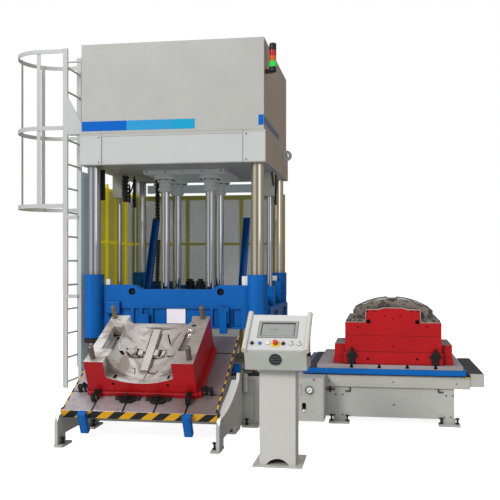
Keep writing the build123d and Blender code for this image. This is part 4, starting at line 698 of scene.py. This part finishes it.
baseCylinder = {
    "foot": (0.762, -0.985, 0.337),
    "profile": ((0.018, 0), (0.026, 0.004), (0.026, 0.12), (0.022, 0.124), (0.022, 0.13), (0.026, 0.134),
        (0.026, 0.172), (0.016, 0.18)),
}
makePieces({
    "baseBand": {"finish": "coverDark", "bevel": 0.003,
        "blocks": ((-0.93, 0.93, -0.957, -0.905, 0.489, 0.512),)},
    "baseCylinder": {"finish": "frameGrey",
        "turned": ((baseCylinder["foot"], (0, 0, 1), baseCylinder["profile"]),)},
})
print("base done")

# Platen: card, drum ribs, rear box, panels set back in the front recesses

drums = {
    "x": (-0.062, 0.058), "y": 0.12,
    "ribs": (6, 1.306, 0.016),  # count, lowest level, pitch
    "ribProfile": ((0.0452, 0), (0.055, 0.003), (0.055, 0.011), (0.0452, 0.014)),
}
recesses = {
    "spans": ((-0.691, -0.465), (-0.431, -0.374), (-0.34, -0.261), (-0.227, 0.37), (0.404, 0.575),
        (0.609, 0.691)),
    "depth": (-0.8005, -0.7575), "height": (0.963, 1.139),
}
count, lowest, pitch = drums["ribs"]
makePieces({
    "platenCard": {"finish": "cardWhite", "blocks": ((-0.082, 0.114, -0.8115, -0.8098, 0.988, 1.138),)},
    "drumRibs": {"finish": "darkSteel",
        "turned": [((x, drums["y"], lowest + i * pitch), (0, 0, 1), drums["ribProfile"])
            for x in drums["x"] for i in range(count)]},
    "rearBoxLid": {"finish": "whitePlastic", "bevel": 0.002,
        "blocks": ((0.788, 0.864, 0.655, 0.698, 1.394, 1.452),)},
    "rearBoxFoot": {"finish": "blackPlastic", "bevel": 0.002,
        "blocks": ((0.795, 0.8365, 0.656, 0.698, 1.335, 1.3935),)},
    "recessPanels": {"finish": "pressBlue",
        "blocks": [(*span, *recesses["depth"], *recesses["height"]) for span in recesses["spans"]]},
}, "platen")
print("platen done")

# Bolster: hazard strip on the front face and lines along the sides

hazard = {
    "height": 0.078, "drop": 0.001, "pitch": 0.2028, "slant": 0.088, "halfX": 0.7, "thickness": 0.0006,
    "barThickness": 0.0005, "lineBarRise": 0.0004, "shortest": 0.004, "line": (0.684, 0.697),
    "lineLength": (0.004, 1.23), "lineBar": (0.6835, 0.6975),
    "lineBars": (10, 0.012, 0.122, 0.061),  # count, first, pitch, length
}
front = bolsterEdge - hazard["thickness"]
high = bolsterTop - hazard["drop"]
low = high - hazard["height"]
halfX, pitch, slant = hazard["halfX"], hazard["pitch"], hazard["slant"]
lineTop = bolsterTop + hazard["thickness"]
bars, lines, lineBars = [], [], []
start = -halfX
while start < halfX:
    right, topLeft, topRight = (min(start + shift, halfX) for shift in (pitch / 2, slant, pitch / 2 + slant))
    if right - start > hazard["shortest"]:
        outline = ((start, low), (right, low), (topRight, high), (topLeft, high))
        bars.append((outline, front - hazard["barThickness"], front))
    start += pitch
near, far = hazard["lineLength"]
count, first, step, length = hazard["lineBars"]
for side in (-1, 1):
    line, bar = (sorted(side * x for x in hazard[key]) for key in ("line", "lineBar"))
    lines.append((*line, bolsterEdge + near, bolsterEdge + far, bolsterTop, lineTop))
    starts = [bolsterEdge + first + i * step for i in range(count)]
    lineBars += [(*bar, s, s + length, lineTop, lineTop + hazard["lineBarRise"]) for s in starts]
makePieces({
    "hazardBase": {"finish": "hazardYellow", "blocks": ((-halfX, halfX, front, bolsterEdge, low, high),)},
    "hazardBars": {"finish": "hazardBlack", "prisms": bars},
    "hazardLines": {"finish": "hazardYellow", "blocks": lines},
    "hazardLineBars": {"finish": "hazardBlack", "blocks": lineBars},
}, "bolster", bolsterPlace)
print("bolster done")


# Lower mould: cover strip, inserts, grooves and holes laid on the machined floor

def castTree(name):
    data = cadNodes[name].data
    return BVHTree.FromPolygons([vertex.co for vertex in data.vertices],
                                [tuple(face.vertices) for face in data.polygons])


cavityTree = castTree("lower_mould_cavity")
downward = bolsterPlace.to_3x3() @ Vector((0, 0, -1))


def mouldFloor(x, s):  # s runs along the bolster from its front edge
    above = bolsterPlace @ Vector((x, bolsterEdge + s, bolsterTop + 0.6))
    spot = cavityTree.ray_cast(above, downward)[0]
    return Vector((x, bolsterEdge + s, (fromBolster @ spot).z if spot else bolsterTop))


def addStrip(mesh, start, end, width, rise, steps=6):
    start, end = Vector(start), Vector(end)
    run = (end - start).normalized()
    side = Vector((-run.y, run.x)) * width / 2
    addPatch(mesh, mouldFloor, (start - side, end - side, end + side, start + side), rise, steps)


lower = {  # a strip has a start, an end and a width, an insert also its rise
    "plate": ((-0.03, 0.399), (-0.03, 0.934), 0.07),
    "rises": {"plate": 0.0012, "hollows": 0.0009, "grooves": 0.0012, "brownLines": 0.0007, "latch": 0.014},
    "inserts": (((-0.199, 0.545), (-0.165, 0.6), 0.045, 0.03),
        ((-0.112, 0.575), (-0.108, 0.64), 0.04, 0.022), ((0.03, 0.59), (0.034, 0.66), 0.042, 0.024),
        ((0.1, 0.585), (0.108, 0.64), 0.034, 0.018)),
    "hollows": (((-0.262, 0.497), (-0.242, 0.53), 0.03), ((-0.232, 0.6), (-0.205, 0.565), 0.016),
        ((-0.215, 0.535), (-0.17, 0.545), 0.014), ((-0.128, 0.565), (-0.085, 0.585), 0.02),
        ((-0.155, 0.645), (-0.115, 0.665), 0.016), ((0.008, 0.572), (0.05, 0.575), 0.016),
        ((0.066, 0.59), (0.07, 0.655), 0.018), ((0.09, 0.57), (0.125, 0.58), 0.012),
        ((0.02, 0.675), (0.075, 0.672), 0.014), ((-0.142, 0.575), (-0.138, 0.65), 0.016),
        ((0.151, 0.565), (0.2, 0.525), 0.012), ((0.215, 0.512), (0.25, 0.488), 0.01),
        ((0.088, 0.884), (0.143, 0.731), 0.012), ((-0.075, 0.68), (-0.075, 0.93), 0.008),
        ((-0.42, 0.79), (-0.325, 0.79), 0.03), ((0.235, 0.3), (0.232, 0.245), 0.022),
        ((-0.256, 0.3), (-0.262, 0.245), 0.024), ((0.16, 0.7), (0.22, 0.86), 0.008)),
    "grooves": (((-0.118, 0.42), (-0.105, 0.352), 0.007), ((-0.15, 0.412), (-0.112, 0.416), 0.007),
        ((0.0, 0.395), (0.082, 0.362), 0.009), ((0.082, 0.362), (0.102, 0.392), 0.009),
        ((0.003, 0.39), (-0.021, 0.29), 0.007), ((0.14, 0.36), (0.19, 0.33), 0.006)),
    "brownLines": (((0.022, 0.9), (0.022, 0.45), 0.016), ((-0.225, 0.545), (-0.07, 0.645), 0.02),
        ((-0.2, 0.52), (-0.08, 0.575), 0.02), ((0.0, 0.67), (0.13, 0.655), 0.018),
        ((0.0, 0.565), (0.125, 0.568), 0.016), ((0.14, 0.575), (0.27, 0.475), 0.01)),
    "frontHoles": ((-0.269, 0.13, 0.013), (0.23, 0.13, 0.013), (-0.112, 0.125, 0.005),
        (-0.05, 0.125, 0.004), (0.019, 0.125, 0.005), (0.075, 0.125, 0.004), (0.135, 0.125, 0.005)),
    "topDots": ((-0.459, 0.381, 0.006), (-0.396, 0.44, 0.006), (-0.36, 0.255, 0.005), (0.4, 0.36, 0.005),
        (0.338, 0.9, 0.006), (0.445, 0.8, 0.005)),
    "latch": ((0.318, 0.695), (0.372, 0.695), (0.378, 0.765), (0.322, 0.765)),
    "holeDepth": 0.003,
    "proud": 0.0008,
}
formTools["strips"] = addStrip
rises, depth, proud = lower["rises"], lower["holeDepth"], lower["proud"]
plugs = [((x, mouldFront + depth, bolsterTop + z), (x, mouldFront - proud, bolsterTop + z), radius)
    for x, z, radius in lower["frontHoles"]]
for x, s, radius in lower["topDots"]:
    spot = mouldFloor(x, s)
    plugs.append((spot - Vector((0, 0, depth)), spot + Vector((0, 0, proud)), radius))

padBars = {
    "x": (-0.14, 0.14), "half": 0.113, "span": (0.158, 0.207), "height": 0.0185, "studAt": 0.164,
    "stud": (0.05, 0.075), "studRadius": 0.012,
}
# painted highlight: a thin lighter red strip along the edge of the mould's foot flange
footEdge = {"span": (-0.517, 0.489), "depth": (-0.0146, -0.0142), "height": (0.044, 0.0495)}
footDepth = [mouldFront + s for s in footEdge["depth"]]
footHeight = [bolsterTop + z for z in footEdge["height"]]
padFront, padBack = (bolsterEdge + s for s in padBars["span"])
studLow, studHigh = ((bolsterEdge + padBars["studAt"], bolsterTop + z) for z in padBars["stud"])
makePieces({
    "stripPlate": {"finish": "brightSteel", "strips": ((*lower["plate"], rises["plate"], 10),)},
    "mouldHollows": {"finish": "deepShade",
        "strips": [(*strip, rises[key]) for key in ("hollows", "grooves") for strip in lower[key]]},
    "mouldInserts": {"finish": "brightSteel", "bevel": 0.003,
        "strips": [(*strip, 2) for strip in lower["inserts"]]},
    "mouldGrooves": {"finish": "brownSteel",
        "strips": [(*strip, rises["brownLines"], 8) for strip in lower["brownLines"]]},
    "mouldHoles": {"finish": "deepShade", "rods": plugs},
    "mouldLatch": {"finish": "brightSteel", "bevel": 0.004,
        "patches": ((mouldFloor, lower["latch"], rises["latch"], 2),)},
    "padBars": {"finish": "blackPlastic", "bevel": 0.004,
        "blocks": [(x - padBars["half"], x + padBars["half"], padFront, padBack, bolsterTop,
            bolsterTop + padBars["height"]) for x in padBars["x"]],
        "rods": [((x, *studLow), (x, *studHigh), padBars["studRadius"]) for x in padBars["x"]]},
    "footEdge": {"finish": "redEdge", "blocks": ((*footEdge["span"], *footDepth, *footHeight),)},
}, "bolster", bolsterPlace)
print("lower mould done")

# Upper mould: outline partly painted as a highlight, holes, clamps, slot ends, dome details

upper = {
    "front": -0.638, "centre": 2.198, "centreHalf": 0.269,
    "shoulder": (0.474, 1.0125, 0.003),  # half width, level and radius of the line on each side
    "outline": ((-1, -0.006, 1.012), (-1, 0.004, 1.1392), (-0.55, 0, 1.1392), (-0.35, 0, 1.157),
        (0.35, 0, 1.157), (0.55, 0, 1.1392), (1, -0.004, 1.1392), (1, 0.006, 1.012)),
    "outlineRadius": 0.0035, "lineSides": 6, "lineInset": 0.001, "lineGap": 0.006,
    "smallHoles": ((2.118, 1.075), (2.193, 1.055), (2.271, 1.077), (2.379, 1.122), (2.013, 1.122),
        (1.854, 0.963), (2.531, 0.972), (2.196, 0.772), (1.945, 1.122), (2.449, 1.122)),
    "flangeHoles": ((1.953, 0.646), (2.435, 0.651)), "bigHoles": ((1.959, 1.018), (2.437, 1.018)),
    "holes": {  # back and front of the dark plug, radius
        "smallHoles": (0.003, -0.0008, 0.0075),
        "flangeHoles": (-0.009, -0.0128, 0.012),
        "bigHoles": (0.05, 0.004, 0.0215),
    },
    "clamps": (1.791, 2.612), "clampBack": 0.0125,
    "clampBlocks": ((-0.056, 0.056, 0.034, 0.664, 0.69), (-0.026, 0.026, 0.036, 0.592, 0.722),
        (-0.04, 0.034, 0.03, 0.612, 0.642), (-0.034, 0.042, 0.04, 0.692, 0.706)),
    "clampStuds": ((0, 0.72, 0.758, 0.01), (0.022, 0.7, 0.728, 0.008)),
    "studReach": 0.024, "slotDepth": (0.0008, 0.002),
    "slots": (1.791, 2.064, 2.338, 2.612),
    "slotOutline": ((-0.021, 0.5605), (0.021, 0.5605), (0.01, 0.5885), (-0.01, 0.5885)),
    "arcs": ((2.02, 2.14, -0.5, -0.44), (2.24, 2.37, -0.5, -0.44), (2.04, 2.14, -0.36, -0.31),
        (2.25, 2.34, -0.36, -0.31), (1.9, 1.99, -0.47, -0.42), (2.41, 2.5, -0.47, -0.42)),
    "arcRise": 0.006,
    "recesses": ((2.155, 2.24, -0.54, -0.3), (1.93, 2.01, -0.53, -0.49), (2.39, 2.46, -0.53, -0.49),
        (1.84, 1.9, -0.5, -0.4), (2.5, 2.56, -0.5, -0.4), (2.03, 2.12, -0.42, -0.38),
        (2.27, 2.36, -0.42, -0.38), (1.83, 1.88, -0.3, -0.2), (2.52, 2.57, -0.3, -0.2)),
    "recessRise": 0.001,
    "shoulderDots": ((1.765, -0.58), (1.8, -0.45), (1.86, -0.52), (1.78, -0.3), (1.83, -0.18),
        (1.87, -0.38), (2.53, -0.58), (2.57, -0.45), (2.62, -0.52), (2.55, -0.3), (2.6, -0.18),
        (2.64, -0.38)),
    "dot": (1.04, 1.0448, 0.011), "castFrom": 1.6, "rim": 1.05,
}
coreTree = castTree("upper_mould_core")


def domeFloor(x, y):
    spot = coreTree.ray_cast(Vector((x, y, upper["castFrom"])), Vector((0, 0, -1)))[0]
    return Vector((x, y, spot.z if spot else upper["rim"]))


def domePatches(spans, rise):
    return [(domeFloor, ((x0, y0), (x1, y0), (x1, y1), (x0, y1)), rise) for x0, x1, y0, y1 in spans]


face, half, middle = upper["front"], upper["centreHalf"], upper["centre"]
studY, lineY = face - upper["studReach"], face + upper["lineInset"]
slotFace = nodeBox("tslot_table")[1][0]
slotProud, slotDeep = upper["slotDepth"]
dotLow, dotHigh, dotRadius = upper["dot"]
outline = [(middle + half * share + shift, lineY, z) for share, shift, z in upper["outline"]]
reach, level, radius = upper["shoulder"]
gap = upper["lineGap"]
shoulders = [((middle + x0, lineY, level), (middle + x1, lineY, level), radius, upper["lineSides"])
    for x0, x1 in ((-reach, -half - gap), (half + gap, reach))]
makePieces({
    "upperHoles": {"finish": "deepShade",
        "rods": [((x, face + back, z), (x, face + front, z), radius)
            for key, (back, front, radius) in upper["holes"].items() for x, z in upper[key]]},
    "upperClamps": {"finish": "darkSteel", "bevel": 0.003,
        "blocks": [(x + x0, x + x1, face - depth, face - upper["clampBack"], low, high)
            for x in upper["clamps"] for x0, x1, depth, low, high in upper["clampBlocks"]],
        "rods": [((x + shift, studY, low), (x + shift, studY, high), radius)
            for x in upper["clamps"] for shift, low, high, radius in upper["clampStuds"]]},
    "slotEnds": {"finish": "deepShade",
        "prisms": [([(x + a, b) for a, b in upper["slotOutline"]],
                slotFace - slotProud, slotFace + slotDeep)
            for x in upper["slots"]]},
    "domeRibs": {"finish": "brightSteel", "bevel": 0.002,
        "patches": domePatches(upper["arcs"], upper["arcRise"])},
    "domeHollows": {"finish": "deepShade", "patches": domePatches(upper["recesses"], upper["recessRise"]),
        "rods": [((x, y, dotLow), (x, y, dotHigh), dotRadius) for x, y in upper["shoulderDots"]]},
    # bright line along the centre block's edges and the shoulders: bare steel edge, partly painted highlight
    "centreOutline": {"finish": "brightSteel",
        "rods": [(start, end, upper["outlineRadius"], upper["lineSides"])
            for start, end in zip(outline, outline[1:])] + shoulders},
}, "carriage")
print("upper mould done")

# Side table: brackets, screws, end fittings

table = {
    "panel": -0.64, "cover": -0.66, "screwRadius": 0.007, "coverScrewRadius": 0.006,
    "screws": ((1.63, 0.28), (1.7, 0.281), (2.716, 0.294), (2.781, 0.296), (2.208, 0.191), (1.619, 0.075),
        (1.698, 0.077), (2.699, 0.083), (2.761, 0.085)),
    "coverScrews": ((2.814, 0.416), (1.56, 0.42), (2.2, 0.42)),
    "brackets": (((1.522, 1.622, 0.327, 0.337), (1.566, 1.584, 0.305, 0.364)),  # bar and upright
        ((1.726, 1.779, 0.314, 0.322), (1.77, 1.779, 0.314, 0.36)),
        ((2.638, 2.689, 0.325, 0.333), (2.638, 2.647, 0.325, 0.362))),
    "bracketReach": (0.016, 0.014),
}
panel = table["panel"]
makePieces({
    "tableScrews": {"finish": "darkSteel",
        "screws": [((x, panel, z), table["screwRadius"]) for x, z in table["screws"]]
            + [((x, table["cover"], z), table["coverScrewRadius"]) for x, z in table["coverScrews"]]},
    "tableBrackets": {"finish": "blackPlastic", "bevel": 0.001,
        "blocks": [(x0, x1, panel - reach, panel, z0, z1) for bracket in table["brackets"]
            for (x0, x1, z0, z1), reach in zip(bracket, table["bracketReach"])]},
    "endStop": {"finish": "darkSteel", "bevel": 0.003,
        "blocks": ((2.9, 2.943, -0.672, -0.652, 0.484, 0.512),)},
    "endTab": {"finish": "yellowPlastic", "bevel": 0.001,
        "blocks": ((2.905, 2.935, -0.6722, -0.66, 0.4725, 0.4835),)},
    "carriageCover": {"finish": "coverDark", "body": "carriage", "bevel": 0.002,
        "blocks": ((1.352, 1.4455, -0.684, 0.684, 0.5515, 0.5595),)},
})
print("side table done")

# Control desk: screen, marks, plate under the stop button, grille; heights go up from the sloping panel

deskTop = {
    "glass": (-0.134, 0.134, 0.156, 0.312), "glassDepth": (-0.0024, -0.0012), "border": 0.006,
    "borderDepth": (-0.0012, -0.0004),
    "frame": ((-0.159, 0.159, 0.331, 0.3335), (-0.159, 0.159, 0.1345, 0.137),
        (-0.1595, -0.157, 0.137, 0.331), (0.157, 0.1595, 0.137, 0.331)),
    "frameHeight": (0.0002, 0.0022),
    "marks": ((-0.055, 0.0, 0.236, 0.2395), (-0.05, -0.01, 0.212, 0.2145), (-0.1, -0.085, 0.285, 0.2875)),
    "markDepth": (-0.0012, -0.0008), "stopX": -0.004, "row": 0.066, "plateHalf": 0.033,
    "plateHole": 0.0135, "plateHeight": (0.0002, 0.003), "switches": (0.119, 0.1805),
    "switchDot": (0.028, 0.0014, 0.0085),  # distance above the switch, height, radius
    "switchRing": (0.0165, 0.0185, 0.0012), "grilleY": -2.5717, "grilleLean": (0, -0.15, -0.05),
    "grilleBack": (0.004, 0.0478),  # thickness, radius
}
x0, x1, y0, y1 = deskTop["glass"]
edge = deskTop["border"]
# dark band round the screen glass: a black border, and on the right side painted shadow
border = ((x0, x1, y1 - edge * 2, y1), (x0, x0 + edge, y0, y1 - edge * 2), (x1 - edge, x1, y0, y1 - edge * 2),
          (x0 + edge, x1 - edge, y0, y0 + edge))
x, y = deskTop["stopX"], deskTop["row"]
half, hole = deskTop["plateHalf"], deskTop["plateHole"]
plate = ((x - half, x + half, y + hole, y + half), (x - half, x + half, y - half, y - hole),
         (x - half, x - hole, y - hole, y + hole), (x + hole, x + half, y - hole, y + hole))


def raised(spans, height):
    return [(*span, *height) for span in spans]


rise, height, radius = deskTop["switchDot"]
middle = Vector((desk["x"], deskTop["grilleY"], desk["grilleZ"]))
grilleDeep, grilleRadius = deskTop["grilleBack"]
makePieces({
    "screenGlass": {"finish": "screenGlass", "blocks": raised((deskTop["glass"],), deskTop["glassDepth"])},
    "screenBorder": {"finish": "screenDark",
        "blocks": raised(border, deskTop["borderDepth"]) + raised(deskTop["frame"], deskTop["frameHeight"])},
    "screenMarks": {"finish": "screenDark", "blocks": raised(deskTop["marks"], deskTop["markDepth"])},
    "stopPlate": {"finish": "yellowPlastic", "blocks": raised(plate, deskTop["plateHeight"])},
    "switchMarks": {"finish": "blackPlastic",
        "rods": [((x, y + rise, 0), (x, y + rise, height), radius) for x in deskTop["switches"]],
        "rings": [((x, y, 0), (0, 0, 1), *deskTop["switchRing"]) for x in deskTop["switches"]]},
}, place=deskPlace)
makePieces({"grilleBack": {"finish": "deepShade",
    "rods": ((middle - Vector(deskTop["grilleLean"]).normalized() * grilleDeep, middle, grilleRadius),)}})

# Valve cabinet: dial, ticks, door line and frame of a small window

dialAndDoor = {
    "dial": (0.0045, 0.0325, 0.0006),  # inner and outer radius, thickness
    "dialReach": 0.008,
    "ticks": (9, -135, 33.75),  # count, first and step in degrees
    "tick": (-0.0012, 0.0012, 0.0092, 0.0086, 0.023, 0.03),
    "doorLine": (0.008, 0.0016, 0.0004),  # from the right edge, width, thickness
    "window": ((1.277, 1.316, 0.4115, 0.4135), (1.277, 1.316, 0.3125, 0.3145),
        (1.2765, 1.2785, 0.3145, 0.4115), (1.3145, 1.3165, 0.3145, 0.4115)),
}
front = cabinet["front"]
gaugeX, gaugeZ = cabinet["gauge"]
makePieces({"gaugeDial": {"finish": "cardWhite",
    "rings": (((gaugeX, front - dialAndDoor["dialReach"], gaugeZ), (0, -1, 0), *dialAndDoor["dial"]),)}})
mesh = bmesh.new()
count, first, step = dialAndDoor["ticks"]
x0, x1, reach0, reach1, z0, z1 = dialAndDoor["tick"]
for i in range(count):
    turn = Matrix.Rotation(math.radians(first + i * step), 4, "Y")
    corners = addBlock(mesh, x0, x1, front - reach0, front - reach1, z0, z1)
    bmesh.ops.transform(mesh, matrix=Matrix.Translation((gaugeX, 0, gaugeZ)) @ turn, verts=corners)
makePiece("gaugeTicks", mesh, "blackPlastic")
cabinetBox = nodeBox("valve_cabinet")
inset, width, thickness = dialAndDoor["doorLine"]
right = cabinetBox[0][1] - inset
makePieces({"cabinetLines": {"finish": "grilleDark",
    "blocks": [(right - width, right, front - thickness, front, *cabinetBox[2])]
        + [(a, b, front - cabinet["skin"], front, c, d) for a, b, c, d in dialAndDoor["window"]]}})
print("desk and cabinet done")

# Ladder side: holes in the stile

stileHoles = {"x": -1.153, "depth": (-0.866, -0.8695), "heights": (2.105, 2.066), "radius": 0.01}
near, far = ((stileHoles["x"], y) for y in stileHoles["depth"])
makePieces({"stileHoles": {"finish": "deepShade",
    "rods": [((*near, z), (*far, z), stileHoles["radius"]) for z in stileHoles["heights"]]}})

# Lights, backdrop and floor

stage = {
    "sunPower": 1.5, "sunSpread": 16,
    "lamps": {  # place, target, size, power
        "fillLight": ((7.5, -6.5, 4.0), (0.8, 0, 1.0), 4, 40),
        "topLight": ((0.5, -1.5, 8.0), (0.5, 0, 0), 6, 60),
    },
    "skyGlow": 1.0, "softGlow": 0.62, "glossGlow": 0.8, "from": (-0.42, -0.78, 0.46),
    "brightTone": (1.0, 1.0, 1.0, 1), "dimTone": (0.3, 0.25, 0.2, 1), "floorTone": (0.62, 0.63, 0.64, 1),
    "overheadTone": (0.62, 0.64, 0.68, 1), "bandTint": (0.97, 1, 1.04),
    # what chrome shows round the horizon: place from 0 to 1 and brightness
    "bandStops": ((0.0, 0.4), (0.03, 0.55), (0.08, 0.55), (0.12, 0.8), (0.15, 1.0), (0.175, 0.5),
        (0.205, 0.3), (0.2625, 0.15), (0.285, 0.2), (0.315, 0.7), (0.355, 0.8), (0.4, 0.5), (0.446, 0.28),
        (0.5, 0.36), (0.56, 0.22), (0.64, 0.17), (0.8, 0.15), (0.96, 0.18), (1.0, 0.4)),
    "overhead": (-0.1, 0.75), "side": (-0.55, 0.8), "floor": (-0.25, -0.85), "floorSize": 30,
    "floorDrop": -0.001,
}


def addLight(name, kind, power, direction):
    data = bpy.data.lights.new(name, kind)
    data.energy = power
    lamp = bpy.data.objects.new(name, data)
    lamp.rotation_euler = direction.to_track_quat("-Z", "Y").to_euler()
    bpy.context.scene.collection.objects.link(lamp)
    return lamp


keyLight = addLight("keyLight", "SUN", stage["sunPower"], -Vector(stage["from"]))
keyLight.data.angle = math.radians(stage["sunSpread"])
for name, (spot, target, size, power) in stage["lamps"].items():
    lamp = addLight(name, "AREA", power, Vector(target) - Vector(spot))
    lamp.location = spot
    lamp.data.shape = "RECTANGLE"
    lamp.data.size = lamp.data.size_y = size

bpy.context.scene.view_settings.view_transform = "Standard"
world = bpy.data.worlds.new("studioSky")
bpy.context.scene.world = world
world.use_nodes = True
sky = world.node_tree
sky.nodes.clear()
output = sky.nodes.new("ShaderNodeOutputWorld")
place = sky.nodes.new("ShaderNodeTexCoord").outputs["Generated"]
split = sky.nodes.new("ShaderNodeSeparateXYZ")
sky.links.new(place, split.inputs[0])


def backdrop(tone, strength):
    shade = addNode(sky, "ShaderNodeBackground", Strength=strength)
    feed(sky, shade.inputs["Color"], tone)
    return shade.outputs[0]


def either(choice, no, yes):
    mix = sky.nodes.new("ShaderNodeMixShader")
    for i, source in enumerate((choice, no, yes)):
        sky.links.new(source, mix.inputs[i])
    return mix.outputs[0]


# what chrome and gloss see: upright bands of bright and dark, paler overhead
around = joined(sky, "ShaderNodeMath", "ARCTAN2", split.outputs["Y"], split.outputs["X"])[0]
bands = sky.nodes.new("ShaderNodeValToRGB")
sky.links.new(ranged(sky, around, -math.pi, math.pi, 0.0, 1.0), bands.inputs["Fac"])
stops = bands.color_ramp.elements
while len(stops) < len(stage["bandStops"]):
    stops.new(0.5)
for stop, (spot, level) in zip(stops, stage["bandStops"]):
    stop.position = spot
    stop.color = (*(level * tint for tint in stage["bandTint"]), 1)
upMask = ranged(sky, split.outputs["Z"], *stage["overhead"], 0.0, 1.0)
graded = mixColour(sky, upMask, bands.outputs["Color"], stage["overheadTone"])

# what matt faces see: bright from the front left, dim and warm from the right and behind
toward = joined(sky, "ShaderNodeVectorMath", "DOT_PRODUCT", place, stage["from"])["Value"]
sideMask = ranged(sky, toward, *stage["side"], 0.0, 1.0)
sideTone = mixColour(sky, sideMask, stage["dimTone"], stage["brightTone"])
floorMask = ranged(sky, split.outputs["Z"], *stage["floor"], 0.0, 1.0)
softTone = mixColour(sky, floorMask, sideTone, stage["floorTone"])

ray = sky.nodes.new("ShaderNodeLightPath")
unseen = either(ray.outputs["Is Glossy Ray"], backdrop(softTone, stage["softGlow"]),
                backdrop(graded, stage["glossGlow"]))
seen = backdrop((1, 1, 1, 1), stage["skyGlow"])
sky.links.new(either(ray.outputs["Is Camera Ray"], unseen, seen), output.inputs["Surface"])

mesh = bmesh.new()
bmesh.ops.create_grid(mesh, x_segments=2, y_segments=2, size=stage["floorSize"])
floorData = bpy.data.meshes.new("studioFloor")
mesh.to_mesh(floorData)
mesh.free()
floorData.materials.append(makeFinish("floorWhite", tone=(250, 250, 250), roughness=0.9, variation=0.004,
                                      dirt=0.0, bump=0.0, glow=0.88))
studioFloor = bpy.data.objects.new("studioFloor", floorData)
studioFloor.location.z = stage["floorDrop"]
studioFloor.visible_diffuse = False
studioFloor.visible_glossy = False
bpy.context.scene.collection.objects.link(studioFloor)
print("stage set")

print("scene complete")
